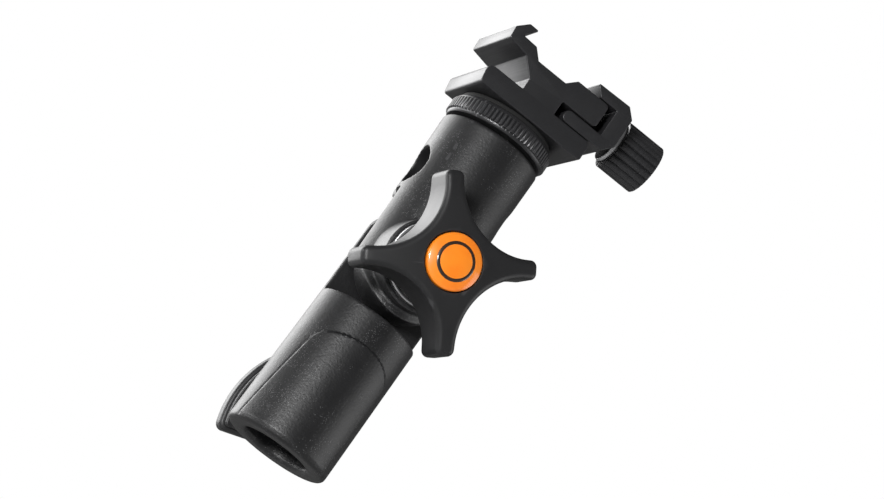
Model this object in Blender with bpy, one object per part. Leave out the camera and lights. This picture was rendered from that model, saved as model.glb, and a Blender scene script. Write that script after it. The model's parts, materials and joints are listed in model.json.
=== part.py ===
"""Umbrella swivel bracket for a light stand.

Two die-cast barrels meet at a tilting joint that a star knob clamps. The lower barrel is the
socket for the stand's 16 mm stud. The upper barrel has the umbrella shaft hole across it, and
carries a flash shoe with a sliding jaw on top.

Frame: origin at the centre of the socket's open end, +Z up the socket, -Y towards the star knob,
+X towards the shoe's clamp knob. At rest the head leans a little on its tilt joint. The constants
are in millimetres, those of the head before it leans, and each mesh is scaled to metres as it is
made.
"""

from math import acos, cos, pi, radians, sin, sqrt, tau

import bmesh
import bpy
from mathutils import Matrix, Vector

MM = 0.001
GAP = 0.3  # clearance that touching pieces keep
ROUND = 40  # sides of a round piece
SMALL_ROUND = 24  # sides of a screw or a screw hole
SHARP_ANGLE = radians(35)

# Lower barrel: the stand socket
MOUTH_RADIUS = 13.0
MOUTH_ROUND = 1.1
BARREL_RADIUS = 12.65
SHOULDER_Z = 36.2
BORE_RADIUS = 8.1
BORE_CHAMFER = 0.5
BORE_DEPTH = 31.0
PANEL_RADIUS = 13.1
PANEL_FOOT_Z = 1.4
PANEL_LEFT_FOOT = (-12.6, 0.0)  # x, z at the foot of the panel's left edge
PANEL_LEFT_TOP = (-10.2, 24.0)
PANEL_RIGHT_X = 10.0
PANEL_SPRING_Z = 22.5
PANEL_TOP_Z = 28.5

# Tilt joint
PIVOT_Z = 51.0
REST_LEAN = -1.46  # degrees about +Y that the head leans at rest
TONGUE_RADIUS = 12.9
CHEEK_RADIUS = 12.7
CHEEK_FACE_Y = 0.8  # each casting's rubbing face, on its own side of the joint
DISC_RADIUS = 11.4
DISC_THICKNESS = 1.0
BOLT_RADIUS = 4.0
BOLT_HEAD_RADIUS = 7.5
BOLT_SEAT_Y = 5.4
BOLT_HEAD_HEIGHT = 5.3
BOLT_TIP_Y = -27.0
TONGUE_BOSS_RADIUS = 9.4
TONGUE_BOSS_Y = 12.4

# Upper barrel: the head
HEAD_FOOT_Z = 65.8
HEAD_FOOT_RADIUS = 12.4
HEAD_TOP_Z = 86.4
HEAD_TOP_RADIUS = 12.76
HEAD_EDGE = 0.5
NEAR_BOSS_RADIUS = 10.8
NEAR_BOSS_Y = -15.3
UMBRELLA_Z = 72.4
UMBRELLA_RADIUS = 4.9
UMBRELLA_CHAMFER = 0.15

# Star knob
WASHER_RADIUS = 9.9
WASHER_NEAR_Y = -17.4
KNOB_BACK_Y = -17.7
KNOB_ARMS_Y = -19.4
KNOB_TIP_Y = -29.7
KNOB_CENTRE_Y = -32.0
KNOB_HUB_RADIUS = 8.6
ARM_COUNT = 4
ARM_ANGLE = 32.0
ARM_REACH = 20.5
ARM_HALF_WIDTH = 2.2
ARM_TIP_ROUND = 1.3
WAIST_ARC_CENTRE = 18.0  # x and y, between two arms
WAIST_ARC_RADIUS = WAIST_ARC_CENTRE - ARM_HALF_WIDTH
BUSH_RADIUS = 6.2
BUSH_NEAR_Y = -26.0
KNOB_HOLE_END_Y = -28.6
CAP_RADIUS = 6.5
CAP_BACK_Y = -31.0
CAP_APEX_Y = -33.6

# Stand lock, on the far side of the socket
STAND_LOCK_Z = 11.2
STAND_SCREW_RADIUS = 3.0
STAND_PAD_RADIUS = 3.6
STAND_PAD_Y = (8.45, 10.0)
STAND_BOSS_RADIUS = 8.0
STAND_BOSS_Y = 13.5
STAND_SCREW_END_Y = 21.6
PADDLE_STEP_Y = (16.9, 18.9)
PADDLE_Y = (18.7, 22.7)
PADDLE_STEP_INSET = 1.0
PADDLE_EDGE = 0.8
PADDLE_HUB = ((0.0, 0.0), 8.0)  # centre from the screw's axis, and radius
PADDLE_CORNERS = (((-7.2, 9.2), 1.0), ((-8.1, -9.6), 1.6))
PADDLE_END_CENTRE = (13.57, -1.82)
PADDLE_END_RADIUS = 24.7
PADDLE_END_ANGLES = (152.5, 199.5)

# Umbrella lock, on the far side of the head
SHAFT_SCREW_RADIUS = 2.5
SHAFT_PAD_RADIUS = 2.9
SHAFT_PAD_Y = (5.3, 6.6)
SHAFT_BOSS_RADIUS = 6.6
SHAFT_BOSS_Y = 13.2
SHAFT_SCREW_END_Y = 24.2
SHAFT_KNOB_Y = (17.6, 25.6)
SHAFT_KNOB_RADIUS = 7.0
SHAFT_KNOB_FLUTES = 14

# Lock ring, rubber washer and stud under the shoe
RING_Z = (87.3, 91.9)
RING_RADIUS = 13.3
RING_GROOVES = 76
RING_GROOVE_DEPTH = 0.3
RING_EDGE = 0.45
RUBBER_Z = (92.1, 93.2)
RUBBER_RADIUS = 12.0
STUD_RADIUS = 3.175
STUD_Z = (79.8, 100.6)
STUD_HOLE_Z = (79.4, 101.2)

# Flash shoe: (x, z, corner radius) round each extrusion, from the front
SHOE_HALF_DEPTH = 12.0
SHOE_OUTLINE = (
    (-13.6, 93.5, 0.8),
    (15.95, 93.5, 0.5),
    (15.95, 98.3, 1.4),
    (5.0, 98.3, 0.3),
    (5.0, 102.0, 0.3),
    (14.75, 102.0, 1.0),
    (14.75, 108.2, 1.0),
    (5.4, 108.2, 0.3),
    (3.1, 105.9, 0.3),
    (-5.0, 105.9, 0.3),
    (-7.3, 108.3, 0.5),
    (-11.4, 108.5, 0.3),
    (-8.75, 111.55, 0.3),
    (-11.5, 111.6, 0.6),
    (-14.0, 109.1, 0.6),
    (-13.8, 106.1, 0.6),
    (-8.25, 105.1, 0.6),
    (-4.5, 101.2, 0.5),
    (-4.4, 98.4, 0.3),
    (-14.4, 98.4, 1.7),
)
JAW_OUTLINE = (
    (9.6, 111.1, 0.2),
    (11.85, 108.5, 0.2),
    (16.8, 108.5, 0.3),
    (16.8, 101.55, 0.3),
    (6.8, 101.55, 1.3),
    (6.8, 98.6, 1.3),
    (18.75, 98.6, 0.6),
    (21.1, 101.2, 0.6),
    (21.1, 109.0, 0.6),
    (18.8, 111.3, 0.5),
)
CLAMP_Z = 105.8
CLAMP_SCREW_RADIUS = 1.5
CLAMP_SCREW_X = (7.3, 31.0)
CLAMP_HOLE_END_X = 5.7
CLAMP_SHOULDER_X = (22.6, 24.2)
CLAMP_SHOULDER_RADIUS = 5.2
CLAMP_KNOB_X = (23.75, 34.0)
CLAMP_KNOB_RADIUS = 6.45
CLAMP_KNOB_FLUTES = 20
CLIP_X = (16.15, 16.5)
CLIP_RADIUS = 2.4
CLIP_SCREW_NECK = 1.1  # screw radius in the clip's groove


# ---------------------------------------------------------------- scene and placing


def clear_scene():
    for obj in list(bpy.data.objects):
        bpy.data.objects.remove(obj, do_unlink=True)


def make_material(name, colour, roughness, metallic):
    material = bpy.data.materials.new(name)
    material.use_nodes = True
    shader = material.node_tree.nodes["Principled BSDF"]
    shader.inputs["Base Color"].default_value = (*colour, 1.0)
    shader.inputs["Roughness"].default_value = roughness
    shader.inputs["Metallic"].default_value = metallic
    material.diffuse_color = (*colour, 1.0)
    return material


def make_axis(name, point, direction=(0, 0, 1), parent=None):
    """An empty on a joint's axis, with its own Z along the axis."""
    empty = bpy.data.objects.new(name, None)
    empty.empty_display_size = 5 * MM
    bpy.context.scene.collection.objects.link(empty)
    turn = Vector((0, 0, 1)).rotation_difference(Vector(direction)).to_matrix().to_4x4()
    world = Matrix.Translation(Vector(point) * MM) @ turn
    if parent:
        empty.parent = parent
        empty.matrix_local = parent.matrix_world.inverted() @ world
    else:
        empty.matrix_local = world
    bpy.context.view_layer.update()
    return empty


def make_object(name, bm, parent=None, in_world=False):
    """An object from a bmesh in millimetres, in its parent's frame or, on request, in the world's."""
    bmesh.ops.recalc_face_normals(bm, faces=bm.faces)
    bmesh.ops.scale(bm, vec=(MM, MM, MM), verts=bm.verts)
    if in_world and parent:
        bmesh.ops.transform(bm, matrix=parent.matrix_world.inverted(), verts=bm.verts)
    mesh = bpy.data.meshes.new(name)
    bm.to_mesh(mesh)
    bm.free()
    obj = bpy.data.objects.new(name, mesh)
    bpy.context.scene.collection.objects.link(obj)
    obj.parent = parent
    return obj


def finish(obj, material):
    """Gives a node its material, and smooth shading between sharp edges."""
    obj.data.materials.append(material)
    obj.data.shade_smooth()
    obj.data.set_sharp_from_angle(angle=SHARP_ANGLE)
    return obj


def combine(obj, operation, *tools):
    """Adds a Boolean for each tool, and hides the tools."""
    for tool in tools:
        modifier = obj.modifiers.new(f"{operation.lower()}_{tool.name}", "BOOLEAN")
        modifier.operation = operation
        modifier.solver = "EXACT"
        modifier.object = tool
        tool.hide_render = True
        tool.display_type = "WIRE"
    return obj


# ---------------------------------------------------------------- basic shapes


def ring_points(radius, height, sides):
    return [Vector((radius * cos(tau * i / sides), radius * sin(tau * i / sides), height)) for i in range(sides)]


def skin(bm, sections, closed_ends=True):
    """Joins equal-length loops of points into a tube, and caps its two ends."""
    loops = [[bm.verts.new(point) for point in section] for section in sections]
    for lower, upper in zip(loops, loops[1:]):
        for i in range(len(lower)):
            j = (i + 1) % len(lower)
            bm.faces.new((lower[i], lower[j], upper[j], upper[i]))
    if closed_ends:
        bm.faces.new(reversed(loops[0]))
        bm.faces.new(loops[-1])
    return loops


def turned(name, profile, parent=None, sides=ROUND):
    """A solid turned about its frame's Z, from (radius, height) pairs that rise."""
    bm = bmesh.new()
    skin(bm, [ring_points(radius, height, sides) for radius, height in profile])
    return make_object(name, bm, parent)


def turned_ring(name, inner, outer_profile, parent=None, sides=ROUND):
    """A turned solid with a straight hole of one radius right through it."""
    bm = bmesh.new()
    bottom, top = outer_profile[0][1], outer_profile[-1][1]
    profile = [(inner, bottom), *outer_profile, (inner, top)]
    loops = skin(bm, [ring_points(radius, height, sides) for radius, height in profile], closed_ends=False)
    for i in range(sides):
        j = (i + 1) % sides
        bm.faces.new((loops[-1][i], loops[-1][j], loops[0][j], loops[0][i]))
    return make_object(name, bm, parent)


def rounded(corners, steps=3):
    """Points round an outline whose (x, z, radius) corners are rounded by arcs."""
    points = []
    for i, (x, z, radius) in enumerate(corners):
        corner = Vector((x, z))
        before = (Vector(corners[i - 1][:2]) - corner).normalized()
        after = (Vector(corners[(i + 1) % len(corners)][:2]) - corner).normalized()
        half = acos(max(-1.0, min(1.0, before.dot(after)))) / 2
        centre = corner + (before + after).normalized() * radius / sin(half)
        start = corner + before * radius * cos(half) / sin(half) - centre
        sweep = start.angle_signed(corner + after * radius * cos(half) / sin(half) - centre)
        for step in range(steps + 1):
            points.append(centre + Matrix.Rotation(-sweep * step / steps, 2) @ start)
    return points


def extruded(name, outline, depths, parent=None):
    """A prism from an (x, z) outline between two depths along Y, in world millimetres."""
    bm = bmesh.new()
    skin(bm, [[Vector((x, depth, z)) for x, z in outline] for depth in depths])
    return make_object(name, bm, parent, in_world=True)


def box(name, low, high, parent=None):
    outline = [(low[0], low[2]), (high[0], low[2]), (high[0], high[2]), (low[0], high[2])]
    return extruded(name, outline, (low[1], high[1]), parent)


def rod(name, radius, ends, parent=None, sides=SMALL_ROUND, chamfer=0.0):
    """A round bar along its frame's Z, with its ends chamfered on request."""
    low, high = ends
    if not chamfer:
        return turned(name, [(radius, low), (radius, high)], parent, sides)
    profile = [(radius - chamfer, low), (radius, low + chamfer), (radius, high - chamfer), (radius - chamfer, high)]
    return turned(name, profile, parent, sides)


def fluted(name, radius, ends, flutes, depth, edge, parent):
    """A turned knob with straight V flutes along its frame's Z, and chamfered ends."""
    bm = bmesh.new()
    low, high = ends
    sections = []
    for shrink, height in ((edge, low), (0, low + edge), (0, high - edge), (edge, high)):
        points = ring_points(1.0, 0.0, 4 * flutes)
        radii = (radius - shrink, radius - shrink, radius - shrink - depth, radius - shrink - depth)
        sections.append([Vector((p.x * radii[i % 4], p.y * radii[i % 4], height)) for i, p in enumerate(points)])
    skin(bm, sections)
    return make_object(name, bm, parent)


# ---------------------------------------------------------------- lower barrel


def panel_outline():
    """The arched panel on the near side: a slanted left edge, an upright right one, and a low arch."""
    left_foot, left_top = Vector(PANEL_LEFT_FOOT), Vector(PANEL_LEFT_TOP)
    points = [left_foot, Vector((PANEL_RIGHT_X, 0.0)), Vector((PANEL_RIGHT_X, PANEL_SPRING_Z))]
    steps = 14
    for i in range(1, steps):
        angle = pi * i / steps
        span = PANEL_RIGHT_X if angle < pi / 2 else -left_top.x
        rise = PANEL_TOP_Z - PANEL_SPRING_Z
        points.append(Vector((span * cos(angle), PANEL_SPRING_Z + rise * sin(angle) ** 0.8)))
    return points + [left_top]


def round_end_blank(name, radius, far_z, parent=None):
    """A wide block that ends in a half round about the pivot, to shape a casting's end."""
    steps, half_width = 28, 20.0
    way = 1 if far_z > PIVOT_Z else -1
    arc = [-way * pi * i / steps for i in range(steps + 1)]
    outline = [(radius * cos(a), PIVOT_Z + radius * sin(a)) for a in arc]
    outline += [(-half_width, PIVOT_Z), (-half_width, far_z), (half_width, far_z), (half_width, PIVOT_Z)]
    return extruded(name, outline, (-half_width, half_width), parent)


def make_barrel():
    """The lower barrel, tapered a little, with a rounded edge round its mouth."""
    profile = [
        (MOUTH_RADIUS - MOUTH_ROUND, 0.0),
        (MOUTH_RADIUS - 0.3 * MOUTH_ROUND, 0.3 * MOUTH_ROUND),
        (MOUTH_RADIUS, MOUTH_ROUND),
        (BARREL_RADIUS, SHOULDER_Z),
        (BARREL_RADIUS, PIVOT_Z + 20),
    ]
    return turned("socket_body", profile)


def make_socket(pivot, stand_lock):
    body = make_barrel()
    combine(body, "INTERSECT", round_end_blank("tongue_end", TONGUE_RADIUS, -5.0))
    combine(body, "DIFFERENCE", box("tongue_face", (-20, -20, SHOULDER_Z), (20, CHEEK_FACE_Y, PIVOT_Z + 30)))
    panel = rod("panel_skin", PANEL_RADIUS, (PANEL_FOOT_Z, 40.0), None, ROUND)
    combine(panel, "INTERSECT", extruded("panel_arch", panel_outline(), (-20.0, -3.0)))
    bolt_boss = rod("bolt_boss", TONGUE_BOSS_RADIUS, (-TONGUE_BOSS_Y, -BOLT_SEAT_Y), pivot, ROUND, 0.4)
    lock_boss = rod("lock_boss", STAND_BOSS_RADIUS, (BORE_RADIUS + 1, STAND_BOSS_Y), stand_lock, ROUND, 0.5)
    combine(body, "UNION", panel, bolt_boss, lock_boss)
    mouth = turned(
        "bore",
        [
            (BORE_RADIUS + 2 * BORE_CHAMFER, -BORE_CHAMFER),
            (BORE_RADIUS, BORE_CHAMFER),
            (BORE_RADIUS, BORE_DEPTH),
        ],
    )
    pad_hole = rod("pad_hole", STAND_PAD_RADIUS + GAP, (0.0, STAND_PAD_Y[1] + 0.6), stand_lock)
    screw_hole = rod("stand_screw_hole", STAND_SCREW_RADIUS + GAP, (0.0, 20.0), stand_lock)
    bolt_hole = rod("tongue_bolt_hole", BOLT_RADIUS + GAP, (-20.0, 5.0), pivot)
    head_pocket = rod("bolt_head_pocket", BOLT_HEAD_RADIUS + GAP, (-20.0, -BOLT_SEAT_Y), pivot, 6)
    return combine(body, "DIFFERENCE", mouth, pad_hole, screw_hole, bolt_hole, head_pocket)


def make_tilt_bolt(pivot):
    bolt = rod("tilt_bolt", BOLT_RADIUS, (-BOLT_SEAT_Y - 2, -BOLT_TIP_Y), pivot, SMALL_ROUND, 0.6)
    head_ends = (-BOLT_SEAT_Y - GAP - BOLT_HEAD_HEIGHT, -BOLT_SEAT_Y - GAP)
    head = rod("bolt_head", BOLT_HEAD_RADIUS, head_ends, pivot, 6, 0.4)
    return combine(bolt, "UNION", head)


# ---------------------------------------------------------------- head


def make_head(head_axis, knob_axis, shaft_lock):
    profile = [
        (HEAD_FOOT_RADIUS, -CHEEK_RADIUS - 3),
        (HEAD_FOOT_RADIUS, HEAD_FOOT_Z - PIVOT_Z),
        (HEAD_TOP_RADIUS, HEAD_TOP_Z - HEAD_EDGE - PIVOT_Z),
        (HEAD_TOP_RADIUS - HEAD_EDGE, HEAD_TOP_Z - PIVOT_Z),
    ]
    body = turned("head_body", profile, head_axis)
    combine(body, "INTERSECT", round_end_blank("cheek_end", CHEEK_RADIUS, HEAD_TOP_Z + 5, head_axis))
    combine(body, "DIFFERENCE", box("cheek_face", (-20, -CHEEK_FACE_Y, 20), (20, 20, HEAD_FOOT_Z), head_axis))
    boss = rod("cheek_boss", NEAR_BOSS_RADIUS, (6.0, -NEAR_BOSS_Y), knob_axis, ROUND, 0.35)
    shaft_boss = rod("shaft_boss", SHAFT_BOSS_RADIUS, (9.0, SHAFT_BOSS_Y), shaft_lock, SMALL_ROUND, 0.3)
    combine(body, "UNION", boss, shaft_boss)
    shaft_axis = make_axis("umbrella_shaft_axis", (0, 0, UMBRELLA_Z), (1, 0, 0), head_axis)
    flare = UMBRELLA_RADIUS + 3 * UMBRELLA_CHAMFER
    reach = HEAD_TOP_RADIUS + 2 * UMBRELLA_CHAMFER
    hole = turned(
        "umbrella_hole",
        [
            (flare, -reach),
            (UMBRELLA_RADIUS, -reach + 3 * UMBRELLA_CHAMFER),
            (UMBRELLA_RADIUS, reach - 3 * UMBRELLA_CHAMFER),
            (flare, reach),
        ],
        shaft_axis,
        32,
    )
    pad_hole = rod("shaft_pad_hole", SHAFT_PAD_RADIUS + GAP, (0.0, SHAFT_PAD_Y[1] + 0.6), shaft_lock)
    screw_hole = rod("shaft_screw_hole", SHAFT_SCREW_RADIUS + GAP, (0.0, 20.0), shaft_lock)
    bolt_hole = rod("cheek_bolt_hole", BOLT_RADIUS + GAP, (-5.0, 20.0), knob_axis)
    stud_hole = rod("stud_hole", STUD_RADIUS + GAP, (STUD_HOLE_Z[0] - PIVOT_Z, 40.0), head_axis)
    return combine(body, "DIFFERENCE", hole, pad_hole, screw_hole, bolt_hole, stud_hole)


def make_friction_disc(knob_axis):
    half = DISC_THICKNESS / 2
    return turned_ring("tilt_friction_disc", BOLT_RADIUS + GAP, [(DISC_RADIUS, -half), (DISC_RADIUS, half)], knob_axis)


def make_tilt_washer(knob_axis):
    low, high, edge = -NEAR_BOSS_Y + GAP, -WASHER_NEAR_Y, 0.2
    profile = [
        (WASHER_RADIUS - edge, low),
        (WASHER_RADIUS, low + edge),
        (WASHER_RADIUS, high - edge),
        (WASHER_RADIUS - edge, high),
    ]
    return turned_ring("tilt_washer", BOLT_RADIUS + GAP, profile, knob_axis)


# ---------------------------------------------------------------- star knob


def star_outline():
    """Round the knob: a flat-ended arm, then the hollow arc to the next one."""
    points = []
    tip_steps, arc_steps = 3, 10
    for arm in range(ARM_COUNT):
        turn = Matrix.Rotation(radians(ARM_ANGLE) + tau * arm / ARM_COUNT, 2)
        for side in (-1, 1):
            centre = Vector((ARM_REACH - ARM_TIP_ROUND, side * (ARM_HALF_WIDTH - ARM_TIP_ROUND)))
            for i in range(tip_steps + 1):
                angle = pi / 2 * (i / tip_steps) if side > 0 else -pi / 2 * (1 - i / tip_steps)
                points.append(turn @ (centre + Vector((cos(angle), sin(angle))) * ARM_TIP_ROUND))
        centre = Vector((WAIST_ARC_CENTRE, WAIST_ARC_CENTRE))
        for i in range(arc_steps + 1):
            angle = -pi / 2 - pi / 2 * i / arc_steps
            points.append(turn @ (centre + Vector((cos(angle), sin(angle))) * WAIST_ARC_RADIUS))
    return points


def domed_blank(name, parent):
    """A disc whose front is the knob's low dome."""
    rise = KNOB_TIP_Y - KNOB_CENTRE_Y
    sphere = (ARM_REACH**2 + rise**2) / (2 * rise)
    rings = 6
    profile = [(ARM_REACH + 2, -KNOB_ARMS_Y - 1)]
    for i in range(rings + 1):
        radius = (ARM_REACH + 2) * (1 - i / rings) + 0.4 * i / rings
        profile.append((radius, -KNOB_CENTRE_Y - sphere + sqrt(sphere**2 - radius**2)))
    return turned(name, profile, parent)


def make_star_knob(knob_axis):
    bm = bmesh.new()
    skin(bm, [[Vector((p.x, p.y, height)) for p in star_outline()] for height in (-KNOB_ARMS_Y, 34.0)])
    knob = make_object("tilt_knob", bm, knob_axis)
    combine(knob, "INTERSECT", domed_blank("knob_dome", knob_axis))
    combine(knob, "UNION", rod("knob_hub", KNOB_HUB_RADIUS, (-KNOB_BACK_Y, 22.0), knob_axis, ROUND, 0.4))
    bush_hole = rod("bush_hole", BUSH_RADIUS + GAP, (10.0, -BUSH_NEAR_Y + GAP), knob_axis, SMALL_ROUND)
    tip_hole = rod("bolt_tip_hole", BOLT_RADIUS + GAP, (20.0, -KNOB_HOLE_END_Y), knob_axis)
    cap_seat = rod("cap_seat", CAP_RADIUS + GAP, (-CAP_BACK_Y - GAP, 40.0), knob_axis, ROUND)
    return combine(knob, "DIFFERENCE", bush_hole, tip_hole, cap_seat)


def make_bush(knob_axis):
    profile = [(BUSH_RADIUS, -KNOB_BACK_Y), (BUSH_RADIUS, -BUSH_NEAR_Y)]
    return turned_ring("tilt_knob_bush", BOLT_RADIUS + GAP, profile, knob_axis, SMALL_ROUND)


def make_cap(knob_axis):
    wall_top = -CAP_BACK_Y + 1.2
    rise = -CAP_APEX_Y - wall_top
    sphere = (CAP_RADIUS**2 + rise**2) / (2 * rise)
    profile = [(CAP_RADIUS, -CAP_BACK_Y), (CAP_RADIUS, wall_top)]
    for share in (0.85, 0.6, 0.35, 0.05):
        radius = CAP_RADIUS * share
        profile.append((radius, -CAP_APEX_Y - sphere + sqrt(sphere**2 - radius**2)))
    return turned("tilt_knob_cap", profile, knob_axis)


# ---------------------------------------------------------------- lock screws


def paddle_points(inset):
    """Points round the wing knob: its fan end, the fan's rounded corners, and the round hub."""
    points = []
    for centre, radius in (PADDLE_HUB, *PADDLE_CORNERS):
        points += [Vector(centre) + p.to_2d() for p in ring_points(radius - inset, 0.0, ROUND)]
    low, high = PADDLE_END_ANGLES
    steps = 8
    for i in range(steps + 1):
        angle = radians(low + (high - low) * i / steps)
        points.append(Vector(PADDLE_END_CENTRE) + Vector((cos(angle), sin(angle))) * (PADDLE_END_RADIUS - inset))
    return points


def paddle_plate(name, levels, parent):
    """The convex plate round (inset, depth) levels of the wing knob's outline."""
    bm = bmesh.new()
    for inset, depth in levels:
        for point in paddle_points(inset):
            bm.verts.new((point.x, -point.y, depth))
    hull = bmesh.ops.convex_hull(bm, input=bm.verts)
    unused = set(hull["geom_interior"]) | set(hull["geom_unused"])
    bmesh.ops.delete(bm, geom=[v for v in unused if isinstance(v, bmesh.types.BMVert)], context="VERTS")
    return make_object(name, bm, parent)


def make_wing_knob(stand_lock):
    step_levels = [(PADDLE_STEP_INSET, depth) for depth in PADDLE_STEP_Y]
    plate_levels = [(0.0, PADDLE_Y[0]), (0.0, PADDLE_Y[1] - PADDLE_EDGE), (PADDLE_EDGE, PADDLE_Y[1])]
    knob = paddle_plate("stand_lock_knob", plate_levels, stand_lock)
    combine(knob, "UNION", paddle_plate("paddle_step", step_levels, stand_lock))
    hole_end = STAND_SCREW_END_Y + GAP
    hole = rod("wing_screw_hole", STAND_SCREW_RADIUS + GAP, (10.0, hole_end), stand_lock)
    return combine(knob, "DIFFERENCE", hole)


def make_stand_lock(stand_lock):
    pad = rod("stand_lock_pad", STAND_PAD_RADIUS, STAND_PAD_Y, stand_lock, SMALL_ROUND, 0.3)
    screw_ends = (STAND_PAD_Y[1] + GAP, STAND_SCREW_END_Y)
    screw = rod("stand_lock_screw", STAND_SCREW_RADIUS, screw_ends, stand_lock, SMALL_ROUND, 0.4)
    return pad, screw, make_wing_knob(stand_lock)


def make_umbrella_lock(shaft_lock):
    pad = rod("umbrella_lock_pad", SHAFT_PAD_RADIUS, SHAFT_PAD_Y, shaft_lock, SMALL_ROUND, 0.3)
    screw_ends = (SHAFT_PAD_Y[1] + GAP, SHAFT_SCREW_END_Y)
    screw = rod("umbrella_lock_screw", SHAFT_SCREW_RADIUS, screw_ends, shaft_lock, SMALL_ROUND, 0.4)
    knob = fluted(
        "umbrella_lock_knob", SHAFT_KNOB_RADIUS, SHAFT_KNOB_Y, SHAFT_KNOB_FLUTES, 0.5, 0.5, shaft_lock
    )
    hole_end = SHAFT_SCREW_END_Y + GAP
    hole = rod("shaft_knob_hole", SHAFT_SCREW_RADIUS + GAP, (10.0, hole_end), shaft_lock)
    return pad, screw, combine(knob, "DIFFERENCE", hole)


# ---------------------------------------------------------------- lock ring and shoe


def make_lock_ring(ring_axis):
    low, high = RING_Z
    ring = fluted(
        "shoe_lock_ring", RING_RADIUS, (low, high), RING_GROOVES // 2, RING_GROOVE_DEPTH, RING_EDGE, ring_axis
    )
    return combine(ring, "DIFFERENCE", rod("ring_hole", STUD_RADIUS + GAP, (low - 2, high + 2), ring_axis))


def make_rubber_washer(ring_axis):
    profile = [(RUBBER_RADIUS, RUBBER_Z[0]), (RUBBER_RADIUS, RUBBER_Z[1])]
    return turned_ring("shoe_rubber_washer", STUD_RADIUS + GAP, profile, ring_axis)


def make_shoe_base(shoe_axis, clamp_axis):
    depths = (-SHOE_HALF_DEPTH, SHOE_HALF_DEPTH)
    base = extruded("shoe_base", rounded(SHOE_OUTLINE), depths, shoe_axis)
    stud_hole = rod("shoe_stud_hole", STUD_RADIUS + GAP, (90.0, STUD_HOLE_Z[1]), shoe_axis)
    screw_hole = rod("finger_screw_hole", CLAMP_SCREW_RADIUS + GAP, (CLAMP_HOLE_END_X, 18.0), clamp_axis)
    return combine(base, "DIFFERENCE", stud_hole, screw_hole)


def make_jaw(jaw_axis):
    depths = (-SHOE_HALF_DEPTH, SHOE_HALF_DEPTH)
    jaw = extruded("shoe_jaw", rounded(JAW_OUTLINE), depths, jaw_axis)
    return combine(jaw, "DIFFERENCE", rod("jaw_screw_hole", CLAMP_SCREW_RADIUS + GAP, (15.0, 24.0), jaw_axis))


def make_clamp_screw(jaw_axis):
    low, high = CLAMP_SCREW_X
    shoulder_low, shoulder_high = CLAMP_SHOULDER_X
    groove_low, groove_high = CLIP_X[0] - GAP / 2, CLIP_X[1] + GAP / 2
    profile = [
        (CLAMP_SCREW_RADIUS - 0.4, low),
        (CLAMP_SCREW_RADIUS, low + 0.4),
        (CLAMP_SCREW_RADIUS, groove_low),
        (CLIP_SCREW_NECK, groove_low),
        (CLIP_SCREW_NECK, groove_high),
        (CLAMP_SCREW_RADIUS, groove_high),
        (CLAMP_SCREW_RADIUS, shoulder_low),
        (CLAMP_SHOULDER_RADIUS - 0.2, shoulder_low),
        (CLAMP_SHOULDER_RADIUS, shoulder_low + 0.2),
        (CLAMP_SHOULDER_RADIUS, shoulder_high),
        (CLAMP_SCREW_RADIUS, shoulder_high),
        (CLAMP_SCREW_RADIUS, high),
    ]
    return turned("clamp_screw", profile, jaw_axis, SMALL_ROUND)


def make_clamp_knob(jaw_axis):
    knob = fluted("clamp_knob", CLAMP_KNOB_RADIUS, CLAMP_KNOB_X, CLAMP_KNOB_FLUTES, 0.4, 0.4, jaw_axis)
    seat = rod("shoulder_seat", CLAMP_SHOULDER_RADIUS + GAP, (20.0, CLAMP_SHOULDER_X[1] + GAP), jaw_axis)
    hole = rod("clamp_knob_hole", CLAMP_SCREW_RADIUS + GAP, (20.0, CLAMP_SCREW_X[1] + GAP), jaw_axis)
    return combine(knob, "DIFFERENCE", seat, hole)


def make_clip(jaw_axis):
    """The retaining clip: an open ring that snaps into the screw's groove."""
    bm = bmesh.new()
    opening, steps = radians(100), 20
    inner, outer = CLIP_SCREW_NECK + 0.2, CLIP_RADIUS
    arc = [opening / 2 + (tau - opening) * i / steps for i in range(steps + 1)]
    outline = [(outer * cos(a), outer * sin(a)) for a in arc]
    outline += [(inner * cos(a), inner * sin(a)) for a in reversed(arc)]
    skin(bm, [[Vector((x, y, depth)) for x, y in outline] for depth in CLIP_X])
    return make_object("clamp_retaining_clip", bm, jaw_axis)


# ---------------------------------------------------------------- assembly


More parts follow.
